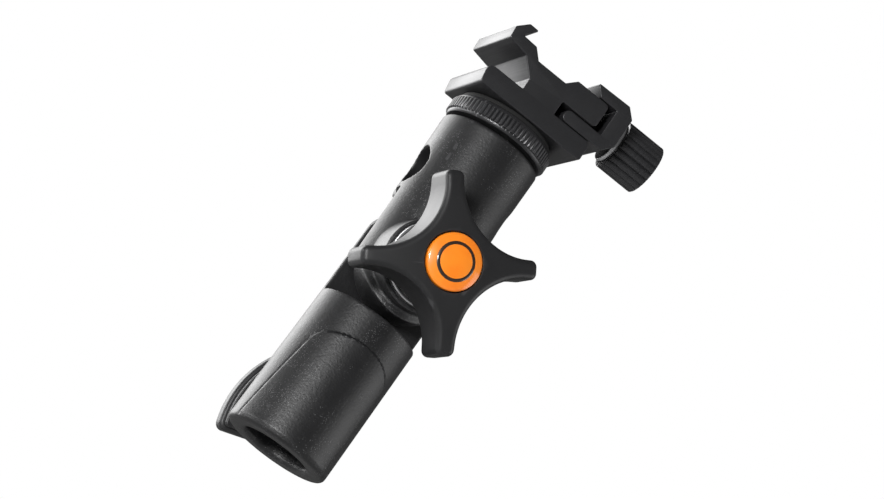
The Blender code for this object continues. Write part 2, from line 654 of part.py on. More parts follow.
def main():
    clear_scene()
    casting = make_material("black_casting", (0.022, 0.022, 0.024), 0.45, 0.3)
    plastic = make_material("black_plastic", (0.03, 0.03, 0.032), 0.5, 0.0)
    anodised = make_material("black_anodised", (0.035, 0.035, 0.038), 0.4, 0.6)
    steel = make_material("bright_steel", (0.6, 0.6, 0.6), 0.25, 1.0)
    zinc = make_material("zinc_plate", (0.5, 0.5, 0.48), 0.35, 1.0)
    brass = make_material("brass", (0.75, 0.55, 0.25), 0.3, 1.0)
    rubber = make_material("black_rubber", (0.015, 0.015, 0.015), 0.85, 0.0)
    fibre = make_material("friction_fibre", (0.05, 0.045, 0.04), 0.9, 0.0)
    orange = make_material("orange_cap", (1.0, 0.27, 0.02), 0.12, 0.0)

    pivot = make_axis("tilt_axis", (0, 0, PIVOT_Z), (0, -1, 0))
    stand_lock = make_axis("stand_lock_axis", (0, 0, STAND_LOCK_Z), (0, 1, 0))
    head_axis = make_axis("head_origin", (0, 0, PIVOT_Z))
    knob_axis = make_axis("tilt_knob_axis", (0, 0, PIVOT_Z), (0, -1, 0), head_axis)
    shaft_lock = make_axis("umbrella_lock_axis", (0, 0, UMBRELLA_Z), (0, 1, 0), head_axis)
    ring_axis = make_axis("lock_ring_axis", (0, 0, 0), (0, 0, 1), head_axis)
    shoe_axis = make_axis("shoe_axis", (0, 0, 0), (0, 0, 1), head_axis)
    clamp_axis = make_axis("finger_axis", (0, 0, CLAMP_Z), (1, 0, 0), shoe_axis)
    jaw_axis = make_axis("clamp_screw_axis", (0, 0, CLAMP_Z), (1, 0, 0), shoe_axis)

    finish(make_socket(pivot, stand_lock), casting)
    finish(make_tilt_bolt(pivot), zinc)
    finish(make_head(head_axis, knob_axis, shaft_lock), casting)
    finish(make_friction_disc(knob_axis), fibre)
    finish(make_tilt_washer(knob_axis), steel)
    finish(make_star_knob(knob_axis), plastic)
    finish(make_bush(knob_axis), steel)
    finish(make_cap(knob_axis), orange)
    for piece, look in zip(make_stand_lock(stand_lock), (brass, zinc, plastic)):
        finish(piece, look)
    for piece, look in zip(make_umbrella_lock(shaft_lock), (brass, zinc, plastic)):
        finish(piece, look)
    stud_ends = (STUD_Z[0] - PIVOT_Z, STUD_Z[1] - PIVOT_Z)
    finish(rod("shoe_stud", STUD_RADIUS, stud_ends, head_axis, SMALL_ROUND, 0.4), zinc)
    finish(make_lock_ring(ring_axis), anodised)
    finish(make_rubber_washer(ring_axis), rubber)
    finish(make_shoe_base(shoe_axis, clamp_axis), anodised)
    finish(make_jaw(jaw_axis), anodised)
    finish(make_clamp_screw(jaw_axis), steel)
    finish(make_clamp_knob(jaw_axis), anodised)
    finish(make_clip(jaw_axis), steel)
    head_axis.rotation_euler.y = radians(REST_LEAN)


main()
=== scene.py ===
"""Looks of the umbrella swivel bracket: a powder-coated two-barrel head with a flash shoe.

Each sub-assembly is a class that holds its sizes in millimetres and builds its meshes at high
resolution. The bench dresses each piece in its finish and rides it on the body that carries
it. The lower barrel stands straight on the row frame; everything on the head is built straight
above the pivot and then leaned with the head's rest pose, which the record's joint axes state.
"""
import json
import logging
from collections.abc import Callable, Iterable, Sequence
from dataclasses import dataclass, field
from enum import Enum
from math import atan2, ceil, cos, pi, radians, sin, sqrt, tau

import bmesh
import bpy
import numpy as np
from mathutils import Matrix, Vector


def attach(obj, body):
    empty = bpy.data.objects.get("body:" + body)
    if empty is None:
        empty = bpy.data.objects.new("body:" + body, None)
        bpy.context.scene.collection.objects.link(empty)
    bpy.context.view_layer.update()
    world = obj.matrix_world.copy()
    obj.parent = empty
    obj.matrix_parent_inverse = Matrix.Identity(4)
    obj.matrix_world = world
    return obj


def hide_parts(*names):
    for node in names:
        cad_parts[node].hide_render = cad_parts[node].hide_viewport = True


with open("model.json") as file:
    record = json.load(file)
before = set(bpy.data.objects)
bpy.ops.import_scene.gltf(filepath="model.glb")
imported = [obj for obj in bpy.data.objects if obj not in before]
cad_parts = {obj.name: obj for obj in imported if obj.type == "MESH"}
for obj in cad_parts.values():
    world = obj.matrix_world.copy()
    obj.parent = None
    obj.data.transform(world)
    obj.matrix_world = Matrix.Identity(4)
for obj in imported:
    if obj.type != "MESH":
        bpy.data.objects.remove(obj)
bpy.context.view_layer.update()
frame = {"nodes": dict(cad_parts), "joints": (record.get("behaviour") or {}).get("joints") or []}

LOG = logging.getLogger("swivel_bracket")
MM = 0.001
SHARP_ANGLE = radians(38)

PAST = 5.0  # how far a cutting tool runs past the face that it starts from, in millimetres
WIDE = 20.0  # further from its own axis than either casting reaches
MERGED = 1e-5  # points nearer than this are one, in millimetres
NONZERO = 1e-6  # keeps a divisor off zero

Ring = list[Vector]
Profile = list[tuple[float, float]]
Triple = tuple[float, float, float]
Corners = Sequence[Triple]


class Axis(Enum):
    """The ways a turned piece can point in its own straight frame."""

    NEAR = (0.0, -1.0, 0.0)
    FAR = (0.0, 1.0, 0.0)
    RIGHT = (1.0, 0.0, 0.0)


# ---------------------------------------------------------------- frame


@dataclass(frozen=True)
class Layout:
    """Where the sub-assemblies lie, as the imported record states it, in millimetres."""

    pivot_z: float
    stand_lock_z: float
    umbrella_z: float
    clamp_z: float
    lean: Matrix

    @classmethod
    def read(cls, joints: Iterable[dict]) -> "Layout":
        """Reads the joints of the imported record.

        Args:
            joints: the record's joints, each with its position and axis in the row frame.

        Returns:
            The heights of the cross axes, with those on the head taken before it leans.
        """
        named = {joint["name"]: joint for joint in joints}
        pivot = Vector(named["tilt"]["pos_m"]) / MM
        upright = Vector(named["shoe_pan"]["axis"])
        turn = Matrix.Rotation(atan2(upright.x, upright.z), 4, "Y")
        lean = Matrix.Translation(pivot) @ turn @ Matrix.Translation(-pivot)
        straight = lean.inverted()
        return cls(
            pivot_z=pivot.z,
            stand_lock_z=named["stand_lock_turn"]["pos_m"][2] / MM,
            umbrella_z=(straight @ (Vector(named["umbrella_lock_turn"]["pos_m"]) / MM)).z,
            clamp_z=(straight @ (Vector(named["clamp_turn"]["pos_m"]) / MM)).z,
            lean=lean,
        )


def along(axis: Axis, x: float = 0.0, y: float = 0.0, z: float = 0.0) -> Matrix:
    """A frame at a point in millimetres, with its own Z along a named axis."""
    turn = Vector((0, 0, 1)).rotation_difference(Vector(axis.value)).to_matrix().to_4x4()
    return Matrix.Translation((x, y, z)) @ turn


# ---------------------------------------------------------------- mesh helpers


def circle(radius: float, height: float, sides: int) -> Ring:
    """A ring of points round Z."""
    angles = [tau * i / sides for i in range(sides)]
    return [Vector((radius * cos(angle), radius * sin(angle), height)) for angle in angles]


def loft(rings: Sequence[Ring], closed: bool = True) -> bmesh.types.BMesh:
    """Joins equal-length rings into a skin.

    Args:
        rings: the rings in order; a ring of one point is a pole.
        closed: whether the first and last rings are capped, where they aren't poles.

    Returns:
        The new mesh.
    """
    bm = bmesh.new()
    loops = [[bm.verts.new(point) for point in ring] for ring in rings]
    for low, high in zip(loops, loops[1:]):
        count = max(len(low), len(high))
        for i in range(count):
            j = (i + 1) % count
            if len(low) == 1:
                bm.faces.new((low[0], high[j], high[i]))
            elif len(high) == 1:
                bm.faces.new((low[i], low[j], high[0]))
            else:
                bm.faces.new((low[i], low[j], high[j], high[i]))
    for loop in (loops[0], loops[-1]):
        if closed and len(loop) > 2:
            bm.faces.new(loop)
    bmesh.ops.recalc_face_normals(bm, faces=bm.faces)
    return bm


def lathe(profile: Profile, sides: int = 128) -> bmesh.types.BMesh:
    """A solid turned about Z from (radius, height) pairs that start and end on the axis or are capped."""
    return loft([circle(r, z, sides) if r else [Vector((0, 0, z))] for r, z in profile])


def fillet(corners: Corners, steps: int = 5, closed: bool = False) -> list[Vector]:
    """Rounds the corners of a flat outline or profile.

    Args:
        corners: (x, y, radius) of each corner.
        steps: the number of spans in each rounded corner.
        closed: whether the line runs on from its last corner to its first.

    Returns:
        The points of the rounded line.
    """
    points: list[Vector] = []
    sharpest = 0.05  # half the sharpest angle rounded, in radians
    for i, (x, y, radius) in enumerate(corners):
        corner = Vector((x, y))
        at_end = not closed and i in (0, len(corners) - 1)
        if at_end or not radius:
            points.append(corner)
            continue
        back = (Vector(corners[i - 1][:2]) - corner).normalized()
        ahead = (Vector(corners[(i + 1) % len(corners)][:2]) - corner).normalized()
        half = max(sharpest, back.angle(ahead) / 2)
        reach = radius * cos(half) / sin(half)
        centre = corner + (back + ahead).normalized() * radius / sin(half)
        start = corner + back * reach - centre
        sweep = start.angle_signed(corner + ahead * reach - centre)
        points += [centre + Matrix.Rotation(-sweep * k / steps, 2) @ start for k in range(steps + 1)]
    return points


def turned(corners: Corners, sides: int = 128) -> bmesh.types.BMesh:
    """A turned solid whose (radius, height, rounding) profile has its corners rounded."""
    return lathe([(max(p.x, 0.0), p.y) for p in fillet(corners)], sides)


def inset(outline: Sequence[Vector], amount: float) -> list[Vector]:
    """Moves an outline inwards along its own normals.

    Args:
        outline: the flat outline, anticlockwise.
        amount: how far it moves.

    Returns:
        The moved outline, with as many points.
    """
    moved = []
    for i, point in enumerate(outline):
        way = (outline[(i + 1) % len(outline)] - outline[i - 1]).normalized()
        moved.append(point + Vector((-way.y, way.x)) * amount)
    return moved


def anticlockwise(outline: list[Vector]) -> list[Vector]:
    """The same outline, turned round if it runs clockwise."""
    area = sum(a.cross(b) for a, b in zip(outline, outline[1:] + outline[:1]))
    return outline if area > 0 else outline[::-1]


def plate(
    outline: list[Vector], low: float, high: float, edge: float, steps: int = 4
) -> bmesh.types.BMesh:
    """A prism along Z whose two rims are rounded.

    Args:
        outline: the flat outline.
        low: the height of the lower face.
        high: the height of the upper face.
        edge: the radius of the rounded rims.
        steps: the number of spans in each rim.

    Returns:
        The new mesh.
    """
    outline = anticlockwise(outline)
    rings: list[Ring] = []
    for way, end in ((1, low), (-1, high)):
        rims = [pi / 2 * k / steps for k in range(steps + 1)]
        for angle in rims if way > 0 else reversed(rims):
            flat = inset(outline, edge * (1 - sin(angle)))
            rings.append([Vector((p.x, p.y, end + way * edge * (1 - cos(angle)))) for p in flat])
    return loft(rings)


def grooved(
    radius_at: Callable[[float], float], levels: Sequence[tuple[float, float]], sides: int
) -> bmesh.types.BMesh:
    """A solid round Z whose radius changes with the angle.

    Args:
        radius_at: the radius at an angle.
        levels: (height, shrink) of each ring, where shrink is how far it is turned down.
        sides: the number of points round.

    Returns:
        The new mesh.
    """
    spokes = [tau * i / sides for i in range(sides)]
    reaches = [radius_at(angle) for angle in spokes]
    widest, rings = max(reaches), []
    for height, shrink in levels:
        ring = []
        for angle, reach in zip(spokes, reaches):
            kept = min(reach, widest - shrink)
            ring.append(Vector((kept * cos(angle), kept * sin(angle), height)))
        rings.append(ring)
    return loft(rings)


def threaded(
    radius: float, pitch: float, low: float, high: float, sides: int = 40
) -> bmesh.types.BMesh:
    """A screw's shank with a single-start right-hand thread and pointed ends.

    Args:
        radius: the thread's outer radius.
        pitch: its pitch.
        low: the height of one end.
        high: the height of the other.
        sides: the number of points round.

    Returns:
        The new mesh.
    """
    depth = 0.54 * pitch
    flank = 2.6
    point = 0.35 * radius
    rings_per_turn = 8
    count = ceil((high - low) / pitch * rings_per_turn)
    rings: list[Ring] = []
    for k in range(count + 1):
        z = low + (high - low) * k / count
        end_cut = max(0.0, point - min(z - low, high - z))
        ring = []
        for i in range(sides):
            share = (z / pitch - i / sides) % 1.0
            crest = min(1.0, flank * abs(share - 0.5))
            reach = min(radius - depth * (1 - crest), radius - end_cut)
            ring.append(Vector((reach * cos(tau * i / sides), reach * sin(tau * i / sides), z)))
        rings.append(ring)
    return loft(rings)


def place(bm: bmesh.types.BMesh, *frames: Matrix) -> bmesh.types.BMesh:
    """Moves a mesh by frames.

    Args:
        bm: the mesh.
        *frames: the frames, outermost first.

    Returns:
        The same mesh.
    """
    for matrix in reversed(frames):
        bmesh.ops.transform(bm, matrix=matrix, verts=bm.verts)
    return bm


def to_object(name: str, bm: bmesh.types.BMesh) -> bpy.types.Object:
    """Makes an object in metres.

    Args:
        name: its name.
        bm: its mesh in millimetres in the row frame, which is used up.

    Returns:
        The new object, linked to the scene.
    """
    bmesh.ops.scale(bm, vec=(MM, MM, MM), verts=bm.verts)
    bmesh.ops.recalc_face_normals(bm, faces=bm.faces)
    mesh = bpy.data.meshes.new(name)
    bm.to_mesh(mesh)
    bm.free()
    obj = bpy.data.objects.new(name, mesh)
    bpy.context.scene.collection.objects.link(obj)
    return obj


def settle(obj: bpy.types.Object) -> bpy.types.Object:
    """Applies an object's modifiers to its mesh.

    Args:
        obj: the object.

    Returns:
        The same object, without modifiers.
    """
    bpy.context.view_layer.update()
    graph = bpy.context.evaluated_depsgraph_get()
    mesh = bpy.data.meshes.new_from_object(obj.evaluated_get(graph))
    obj.modifiers.clear()
    obj.data = mesh
    return obj


def carve(
    obj: bpy.types.Object, operation: str, tools: Iterable[bmesh.types.BMesh]
) -> bpy.types.Object:
    """Applies one Boolean for each tool.

    Args:
        obj: the object to change.
        operation: UNION, DIFFERENCE or INTERSECT.
        tools: the tools' meshes, in millimetres in the row frame.

    Returns:
        The same object.
    """
    for tool in tools:
        cutter = to_object("tool", tool)
        modifier = obj.modifiers.new("carve", "BOOLEAN")
        modifier.operation = operation
        modifier.solver = "EXACT"
        modifier.object = cutter
        settle(obj)
        bpy.data.objects.remove(cutter)
    return obj


def cast(obj: bpy.types.Object, voxel: float, rounds: int) -> bpy.types.Object:
    """Turns a sharp solid into a casting with softly rounded edges.

    Args:
        obj: the object to change.
        voxel: the grid's size in millimetres.
        rounds: the number of smoothing passes.

    Returns:
        The same object.
    """
    remesh = obj.modifiers.new("cast", "REMESH")
    remesh.mode = "VOXEL"
    remesh.voxel_size = voxel * MM
    smooth = obj.modifiers.new("soften", "SMOOTH")
    smooth.factor = 0.5
    smooth.iterations = rounds
    return settle(obj)


def block(low: Sequence[float], high: Sequence[float]) -> bmesh.types.BMesh:
    """A plain box between two corners, to cut with."""
    outline = ((low[0], low[1]), (high[0], low[1]), (high[0], high[1]), (low[0], high[1]))
    return loft([[Vector((x, y, z)) for x, y in outline] for z in (low[2], high[2])])


def bar(radius: float, low: float, high: float, sides: int = 96) -> bmesh.types.BMesh:
    """A plain round bar along Z, to cut or join with."""
    return lathe([(radius, low), (radius, high)], sides)


# ---------------------------------------------------------------- shader effects


class Graph:
    """Adds nodes to one node tree and links them."""

    def __init__(self, tree: bpy.types.NodeTree) -> None:
        """Starts on a tree."""
        self.tree = tree

    def add(self, kind: str, settings: dict | None = None, **inputs: object) -> bpy.types.Node:
        """Adds a node.

        Args:
            kind: the node's type name, without its ShaderNode prefix.
            settings: values for the node's own properties.
            **inputs: sockets by name with underscores for spaces, or as "at" and their index;
                each a value, or a socket to link.

        Returns:
            The new node.
        """
        node = self.tree.nodes.new("ShaderNode" + kind)
        for name, value in (settings or {}).items():
            setattr(node, name, value)
        for name, value in inputs.items():
            if name.startswith("at"):
                socket = node.inputs[int(name[2:])]
            else:
                socket = node.inputs[name.replace("_", " ")]
            if isinstance(value, bpy.types.NodeSocket):
                self.tree.links.new(value, socket)
            else:
                socket.default_value = value
        return node

    def maths(self, operation: str, first: object, second: object = 0.0) -> bpy.types.NodeSocket:
        """One arithmetic step on two values or sockets."""
        return self.add("Math", {"operation": operation}, at0=first, at1=second).outputs[0]

    def vectors(self, operation: str, first: object, second: object) -> bpy.types.NodeSocket:
        """One step on two vectors."""
        return self.add("VectorMath", {"operation": operation}, at0=first, at1=second).outputs[0]

    def length(self, vector: bpy.types.NodeSocket) -> bpy.types.NodeSocket:
        """The length of a vector."""
        return self.add("VectorMath", {"operation": "LENGTH"}, at0=vector).outputs["Value"]

    def noise(
        self, point: bpy.types.NodeSocket, scale: object, detail: float, **inputs: object
    ) -> bpy.types.NodeSocket:
        """Fractal noise at a point, as a value round a half."""
        node = self.add("TexNoise", None, Vector=point, Scale=scale, Detail=detail, **inputs)
        return node.outputs["Fac"]

    def ramp(self, value: bpy.types.NodeSocket, low: float, high: float) -> bpy.types.NodeSocket:
        """The share of the way of a value from low to high, smoothed and held at 0 and 1."""
        settings = {"interpolation_type": "SMOOTHSTEP"}
        node = self.add("MapRange", settings, Value=value, From_Min=low, From_Max=high)
        return node.outputs["Result"]

    def mix(self, share: object, first: object, second: object) -> bpy.types.NodeSocket:
        """A colour part way from the first to the second."""
        node = self.add("Mix", {"data_type": "RGBA"}, at0=share, at6=first, at7=second)
        return node.outputs[2]

    def blend(self, share: object, first: float, second: float) -> bpy.types.NodeSocket:
        """A number part way from the first to the second."""
        node = self.add("Mix", {"data_type": "FLOAT"}, at0=share, at2=first, at3=second)
        return node.outputs[0]


def effect(name: str, sockets_in: dict[str, float | tuple], sockets_out: Sequence[str]) -> tuple:
    """Starts a shader node group with named sockets.

    Args:
        name: the group's name.
        sockets_in: each input with its default, a number or a vector.
        sockets_out: the names of its outputs, all values.

    Returns:
        The group, a graph on it, its input node and its output node.
    """
    group = bpy.data.node_groups.new(name, "ShaderNodeTree")
    for label, value in sockets_in.items():
        kind = "NodeSocketVector" if isinstance(value, tuple) else "NodeSocketFloat"
        socket = group.interface.new_socket(label, in_out="INPUT", socket_type=kind)
        socket.default_value = value
    for label in sockets_out:
        group.interface.new_socket(label, in_out="OUTPUT", socket_type="NodeSocketFloat")
    graph = Graph(group)
    return group, graph, group.nodes.new("NodeGroupInput"), group.nodes.new("NodeGroupOutput")


def grain_effect() -> bpy.types.NodeTree:
    """The skin of a powder coat or a moulded grain.

    Returns:
        The group, which gives the skin's height and a mask of single bright specks.
    """
    cells_to_grain, dots_to_grain, patches_to_grain = 0.6, 1.05, 0.045
    dot_rim, dot_core = 0.34, 0.1
    sockets = {"Vector": (0.0, 0.0, 0.0), "Fineness": 4000.0, "Speck Share": 0.1}
    group, graph, given, made = effect("surface_grain", sockets, ("Height", "Specks"))
    point, fineness = given.outputs["Vector"], given.outputs["Fineness"]
    pits = graph.noise(point, fineness, 3.0, Roughness=0.6)
    cell_scale = graph.maths("MULTIPLY", fineness, cells_to_grain)
    cells = graph.add("TexVoronoi", {"feature": "SMOOTH_F1"}, Vector=point, Scale=cell_scale)
    lumps = graph.maths("SUBTRACT", 1.0, cells.outputs["Distance"])
    half_pits = graph.maths("MULTIPLY", pits, 0.5)
    height = graph.maths("ADD", half_pits, graph.maths("MULTIPLY", lumps, 0.5))
    dot_scale = graph.maths("MULTIPLY", fineness, dots_to_grain)
    dots = graph.add("TexVoronoi", None, Vector=point, Scale=dot_scale)
    near = graph.ramp(dots.outputs["Distance"], dot_rim, dot_core)
    chosen = graph.maths("LESS_THAN", dots.outputs["Color"], given.outputs["Speck Share"])
    patches = graph.noise(point, graph.maths("MULTIPLY", fineness, patches_to_grain), 2.0)
    cloud = graph.ramp(patches, 0.42, 0.62)
    specks = graph.maths("MULTIPLY", graph.maths("MULTIPLY", near, chosen), cloud)
    group.links.new(height, made.inputs["Height"])
    group.links.new(specks, made.inputs["Specks"])
    return group


def worn_highlight_effect() -> bpy.types.NodeTree:
    """Rubbed edges, which also serve as a painted highlight along every convex edge.

    Returns:
        The group, which gives a mask that follows the convex edges and breaks up along them.
    """
    roughening = 0.12
    sockets = {"Vector": (0.0, 0.0, 0.0), "Start": 0.54, "Full": 0.62, "Breakup": 900.0}
    group, graph, given, made = effect("edge_wear_and_highlight", sockets, ("Mask",))
    # painted highlight: this mask lightens convex edges as if light caught them, as well as marking wear
    ridge = graph.add("NewGeometry").outputs["Pointiness"]
    noise = graph.noise(given.outputs["Vector"], given.outputs["Breakup"], 4.0)
    broken = graph.maths("MULTIPLY", graph.maths("SUBTRACT", noise, 0.5), roughening)
    span = graph.maths("SUBTRACT", given.outputs["Full"], given.outputs["Start"])
    above = graph.maths("SUBTRACT", graph.maths("ADD", ridge, broken), given.outputs["Start"])
    clamped = graph.add("Clamp", None, Value=graph.maths("DIVIDE", above, span)).outputs[0]
    group.links.new(clamped, made.inputs["Mask"])
    return group


def turning_effect() -> bpy.types.NodeTree:
    """Tool marks of a lathe.

    Returns:
        The group, which gives fine lines round an axis, on end faces and round walls alike.
    """
    sockets = {
        "Vector": (0.0, 0.0, 0.0),
        "Centre": (0.0, 0.0, 0.0),
        "Across": (1.0, 0.0, 1.0),
        "Fineness": 9000.0,
    }
    group, graph, given, made = effect("turning_marks", sockets, ("Lines",))
    offset = graph.vectors("SUBTRACT", given.outputs["Vector"], given.outputs["Centre"])
    across = graph.vectors("MULTIPLY", offset, given.outputs["Across"])
    rest = graph.vectors("SUBTRACT", offset, across)
    flat = graph.add("CombineXYZ", None, X=graph.length(across), Y=graph.length(rest)).outputs[0]
    settings = {"noise_dimensions": "2D"}
    fineness = given.outputs["Fineness"]
    lines = graph.add("TexNoise", settings, Vector=flat, Scale=fineness, Detail=3.0)
    group.links.new(lines.outputs["Fac"], made.inputs["Lines"])
    return group


def drawn_effect() -> bpy.types.NodeTree:
    """Die lines of an extrusion or a brushed face.

    Returns:
        The group, which gives fine and broad noise stretched along one direction.
    """
    broad_to_fine = 0.09
    sockets = {"Vector": (0.0, 0.0, 0.0), "Stretch": (1.0, 0.02, 1.0), "Fineness": 6000.0}
    group, graph, given, made = effect("drawn_lines", sockets, ("Lines", "Broad"))
    point = graph.vectors("MULTIPLY", given.outputs["Vector"], given.outputs["Stretch"])
    fine = graph.noise(point, given.outputs["Fineness"], 4.0, Roughness=0.65)
    coarse = graph.maths("MULTIPLY", given.outputs["Fineness"], broad_to_fine)
    group.links.new(fine, made.inputs["Lines"])
    group.links.new(graph.noise(point, coarse, 2.0), made.inputs["Broad"])
    return group


class Effects:
    """The shader node groups that the finishes share, each built once."""

    grain: bpy.types.NodeTree
    worn_highlit_edges: bpy.types.NodeTree
    turning: bpy.types.NodeTree
    drawn: bpy.types.NodeTree

    @classmethod
    def build(cls) -> None:
        """Builds every group."""
        cls.grain = grain_effect()
        cls.worn_highlit_edges = worn_highlight_effect()
        cls.turning = turning_effect()
        cls.drawn = drawn_effect()


class Surface(Graph):
    """A material's own tree: its Principled shader, its coordinates and the shared effects."""

    def __init__(self, name: str, constants: dict[str, float]) -> None:
        """Starts a material.

        Args:
            name: the material's name.
            constants: values set on the shader's own sockets.
        """
        self.material = bpy.data.materials.new(name)
        self.material.use_nodes = True
        super().__init__(self.material.node_tree)
        self.shader = self.tree.nodes["Principled BSDF"]
        for label, value in constants.items():
            self.shader.inputs[label].default_value = value
        self.point = self.add("TexCoord").outputs["Object"]

    def place_effect(self, group: bpy.types.NodeTree, **inputs: object) -> bpy.types.Node:
        """Adds a shared effect on this material's coordinates, with its own values."""
        return self.add("Group", {"node_tree": group}, Vector=self.point, **inputs)

    def grain(self, fineness: float, speck_share: float) -> bpy.types.Node:
        """Adds the shared grain, with its height and its specks."""
        return self.place_effect(Effects.grain, Fineness=fineness, Speck_Share=speck_share)

    def worn_and_highlit(self, worn_highlit_edges: "WornHighlitEdges") -> bpy.types.NodeSocket:
        """Adds the shared edge wear, which is also a painted edge highlight, and gives its mask."""
        values = {"Start": worn_highlit_edges.start, "Full": worn_highlit_edges.full, "Breakup": worn_highlit_edges.breakup}
        return self.place_effect(Effects.worn_highlit_edges, **values).outputs["Mask"]

    def tint(
        self, mask: bpy.types.NodeSocket, share: float, under: object, over: Triple
    ) -> bpy.types.NodeSocket:
        """Lays a share of a colour over another, through a mask."""
        return self.mix(self.maths("MULTIPLY", mask, share), under, rgba(over))

    def colour(self, socket: bpy.types.NodeSocket) -> None:
        """Feeds the base colour."""
        self.tree.links.new(socket, self.shader.inputs["Base Color"])

    def roughness(self, socket: bpy.types.NodeSocket) -> None:
        """Feeds the roughness."""
        self.tree.links.new(socket, self.shader.inputs["Roughness"])

    def relief(self, height: bpy.types.NodeSocket, depth_mm: float, strength: float = 1.0) -> None:
        """Feeds the normal from a height, at a depth in millimetres."""
        bump = self.add("Bump", None, Height=height, Strength=strength, Distance=depth_mm * MM)
        self.tree.links.new(bump.outputs["Normal"], self.shader.inputs["Normal"])


def rgba(colour: Triple) -> tuple[float, float, float, float]:
    """A colour with full alpha."""
    return (*colour, 1.0)


def scaled(colour: Triple, factor: float) -> tuple[float, float, float, float]:
    """A colour made lighter or darker by a factor, with full alpha."""
    return rgba(tuple(factor * part for part in colour))


# ---------------------------------------------------------------- finishes


@dataclass(frozen=True)
class WornHighlitEdges:
    """How edges are lightened, as wear and as a painted edge highlight: where it starts, where they are
    bare, and how finely it breaks up.
    """

    start: float
    full: float
    breakup: float


@dataclass(frozen=True)
class PowderCoat:
    """Black textured powder coat on a die casting, with bright specks and lighter convex edges that are
    partly rubbed coat and partly a painted edge highlight.
    """

    name: str = "black_casting"
    base: Triple = (0.0068, 0.0068, 0.0073)
    lighter: float = 1.5
    cloud: float = 160.0
    speck: Triple = (0.21, 0.21, 0.215)
    speck_share: float = 0.45
    # lighter colour on convex edges: rubbed coat and a painted edge highlight
    rubbed_highlight: Triple = (0.06, 0.06, 0.063)
    worn_highlit_edges: WornHighlitEdges = WornHighlitEdges(0.52, 0.6, 1400.0)
    worn_highlight_share: float = 0.6
    wear_shine: float = 0.08
    gloss: float = 0.42
    fineness: float = 3300.0
    grain_mm: float = 0.06

    def material(self) -> bpy.types.Material:
        """Builds the material.

        Returns:
            The new material.
        """
        look = Surface(self.name, {"Specular IOR Level": 0.5})
        grain = look.grain(self.fineness, self.speck_share)
        worn_and_highlit = look.worn_and_highlit(self.worn_highlit_edges)
        cloud = look.noise(look.point, self.cloud, 3.0)
        shade = look.mix(cloud, rgba(self.base), scaled(self.base, self.lighter))
        marked = look.mix(grain.outputs["Specks"], shade, rgba(self.speck))
        # painted highlight: convex edges get the lighter rubbed colour, which stands for light along the
        # edges as well as for wear
        look.colour(look.tint(worn_and_highlit, self.worn_highlight_share, marked, self.rubbed_highlight))
        uneven = look.blend(cloud, self.gloss - 0.05, self.gloss + 0.07)
        shine = look.maths("MULTIPLY", worn_and_highlit, self.wear_shine)
        look.roughness(look.maths("SUBTRACT", uneven, shine))
        look.relief(grain.outputs["Height"], self.grain_mm)
        return look.material


@dataclass(frozen=True)
class MouldedPlastic:
    """Satin black moulded plastic with a fine grain."""

    name: str = "black_plastic"
    base: Triple = (0.0135, 0.0135, 0.0142)
    lighter: float = 1.35
    cloud: float = 110.0
    speck: Triple = (0.2, 0.2, 0.2)
    speck_share: float = 0.05
    speck_strength: float = 0.12
    # lighter colour on convex edges: rubbed plastic and a painted rim highlight
    rubbed_highlight: Triple = (0.06, 0.06, 0.063)
    worn_highlit_edges: WornHighlitEdges = WornHighlitEdges(0.52, 0.62, 700.0)
    worn_highlight_share: float = 0.5
    gloss: float = 0.43
    fineness: float = 3800.0
    grain_mm: float = 0.006

    def material(self) -> bpy.types.Material:
        """Builds the material.

        Returns:
            The new material.
        """
        look = Surface(self.name, {"Specular IOR Level": 0.38})
        grain = look.grain(self.fineness, self.speck_share)
        worn_and_highlit = look.worn_and_highlit(self.worn_highlit_edges)
        cloud = look.noise(look.point, self.cloud, 4.0)
        shade = look.mix(cloud, rgba(self.base), scaled(self.base, self.lighter))
        marked = look.tint(grain.outputs["Specks"], self.speck_strength, shade, self.speck)
        # painted highlight: convex edges get the lighter rubbed colour, which stands for lit rims as well
        # as for wear
        look.colour(look.tint(worn_and_highlit, self.worn_highlight_share, marked, self.rubbed_highlight))
        look.roughness(look.blend(cloud, self.gloss - 0.05, self.gloss + 0.06))
        look.relief(grain.outputs["Height"], self.grain_mm)
        return look.material


@dataclass(frozen=True)
class Anodised:
    """Black anodised aluminium: die lines along an extrusion, or turning marks round an axis."""

    name: str = "black_anodised_extrusion"
    base: Triple = (0.021, 0.021, 0.0225)
    lighter: float = 1.7
    bare: Triple = (0.12, 0.12, 0.125)
    speck_share: float = 0.08
    speck_strength: float = 0.25
    worn_highlit_edges: WornHighlitEdges = WornHighlitEdges(0.56, 0.7, 1100.0)
    worn_highlight_share: float = 0.75
    gloss: float = 0.36
    stretch: Triple = (1.0, 0.015, 1.0)
    fineness: float = 5200.0
    line_mm: float = 0.012

    def material(self) -> bpy.types.Material:
        """Builds the material.

        Returns:
            The new material.
        """
        look = Surface(self.name, {"Metallic": 0.35, "Specular IOR Level": 0.6})
        lines = look.place_effect(Effects.drawn, Stretch=self.stretch, Fineness=self.fineness)
        grain = look.grain(self.fineness, self.speck_share)
        worn_and_highlit = look.worn_and_highlit(self.worn_highlit_edges)
        streak = look.ramp(lines.outputs["Lines"], 0.35, 0.7)
        shade = look.mix(streak, rgba(self.base), scaled(self.base, self.lighter))
        marked = look.tint(grain.outputs["Specks"], self.speck_strength, shade, self.bare)
        # convex edges take the bare colour: worn anodising and a painted edge highlight
        look.colour(look.tint(worn_and_highlit, self.worn_highlight_share, marked, self.bare))
        look.roughness(look.blend(lines.outputs["Broad"], self.gloss - 0.06, self.gloss + 0.09))
        look.relief(lines.outputs["Lines"], self.line_mm)
        return look.material


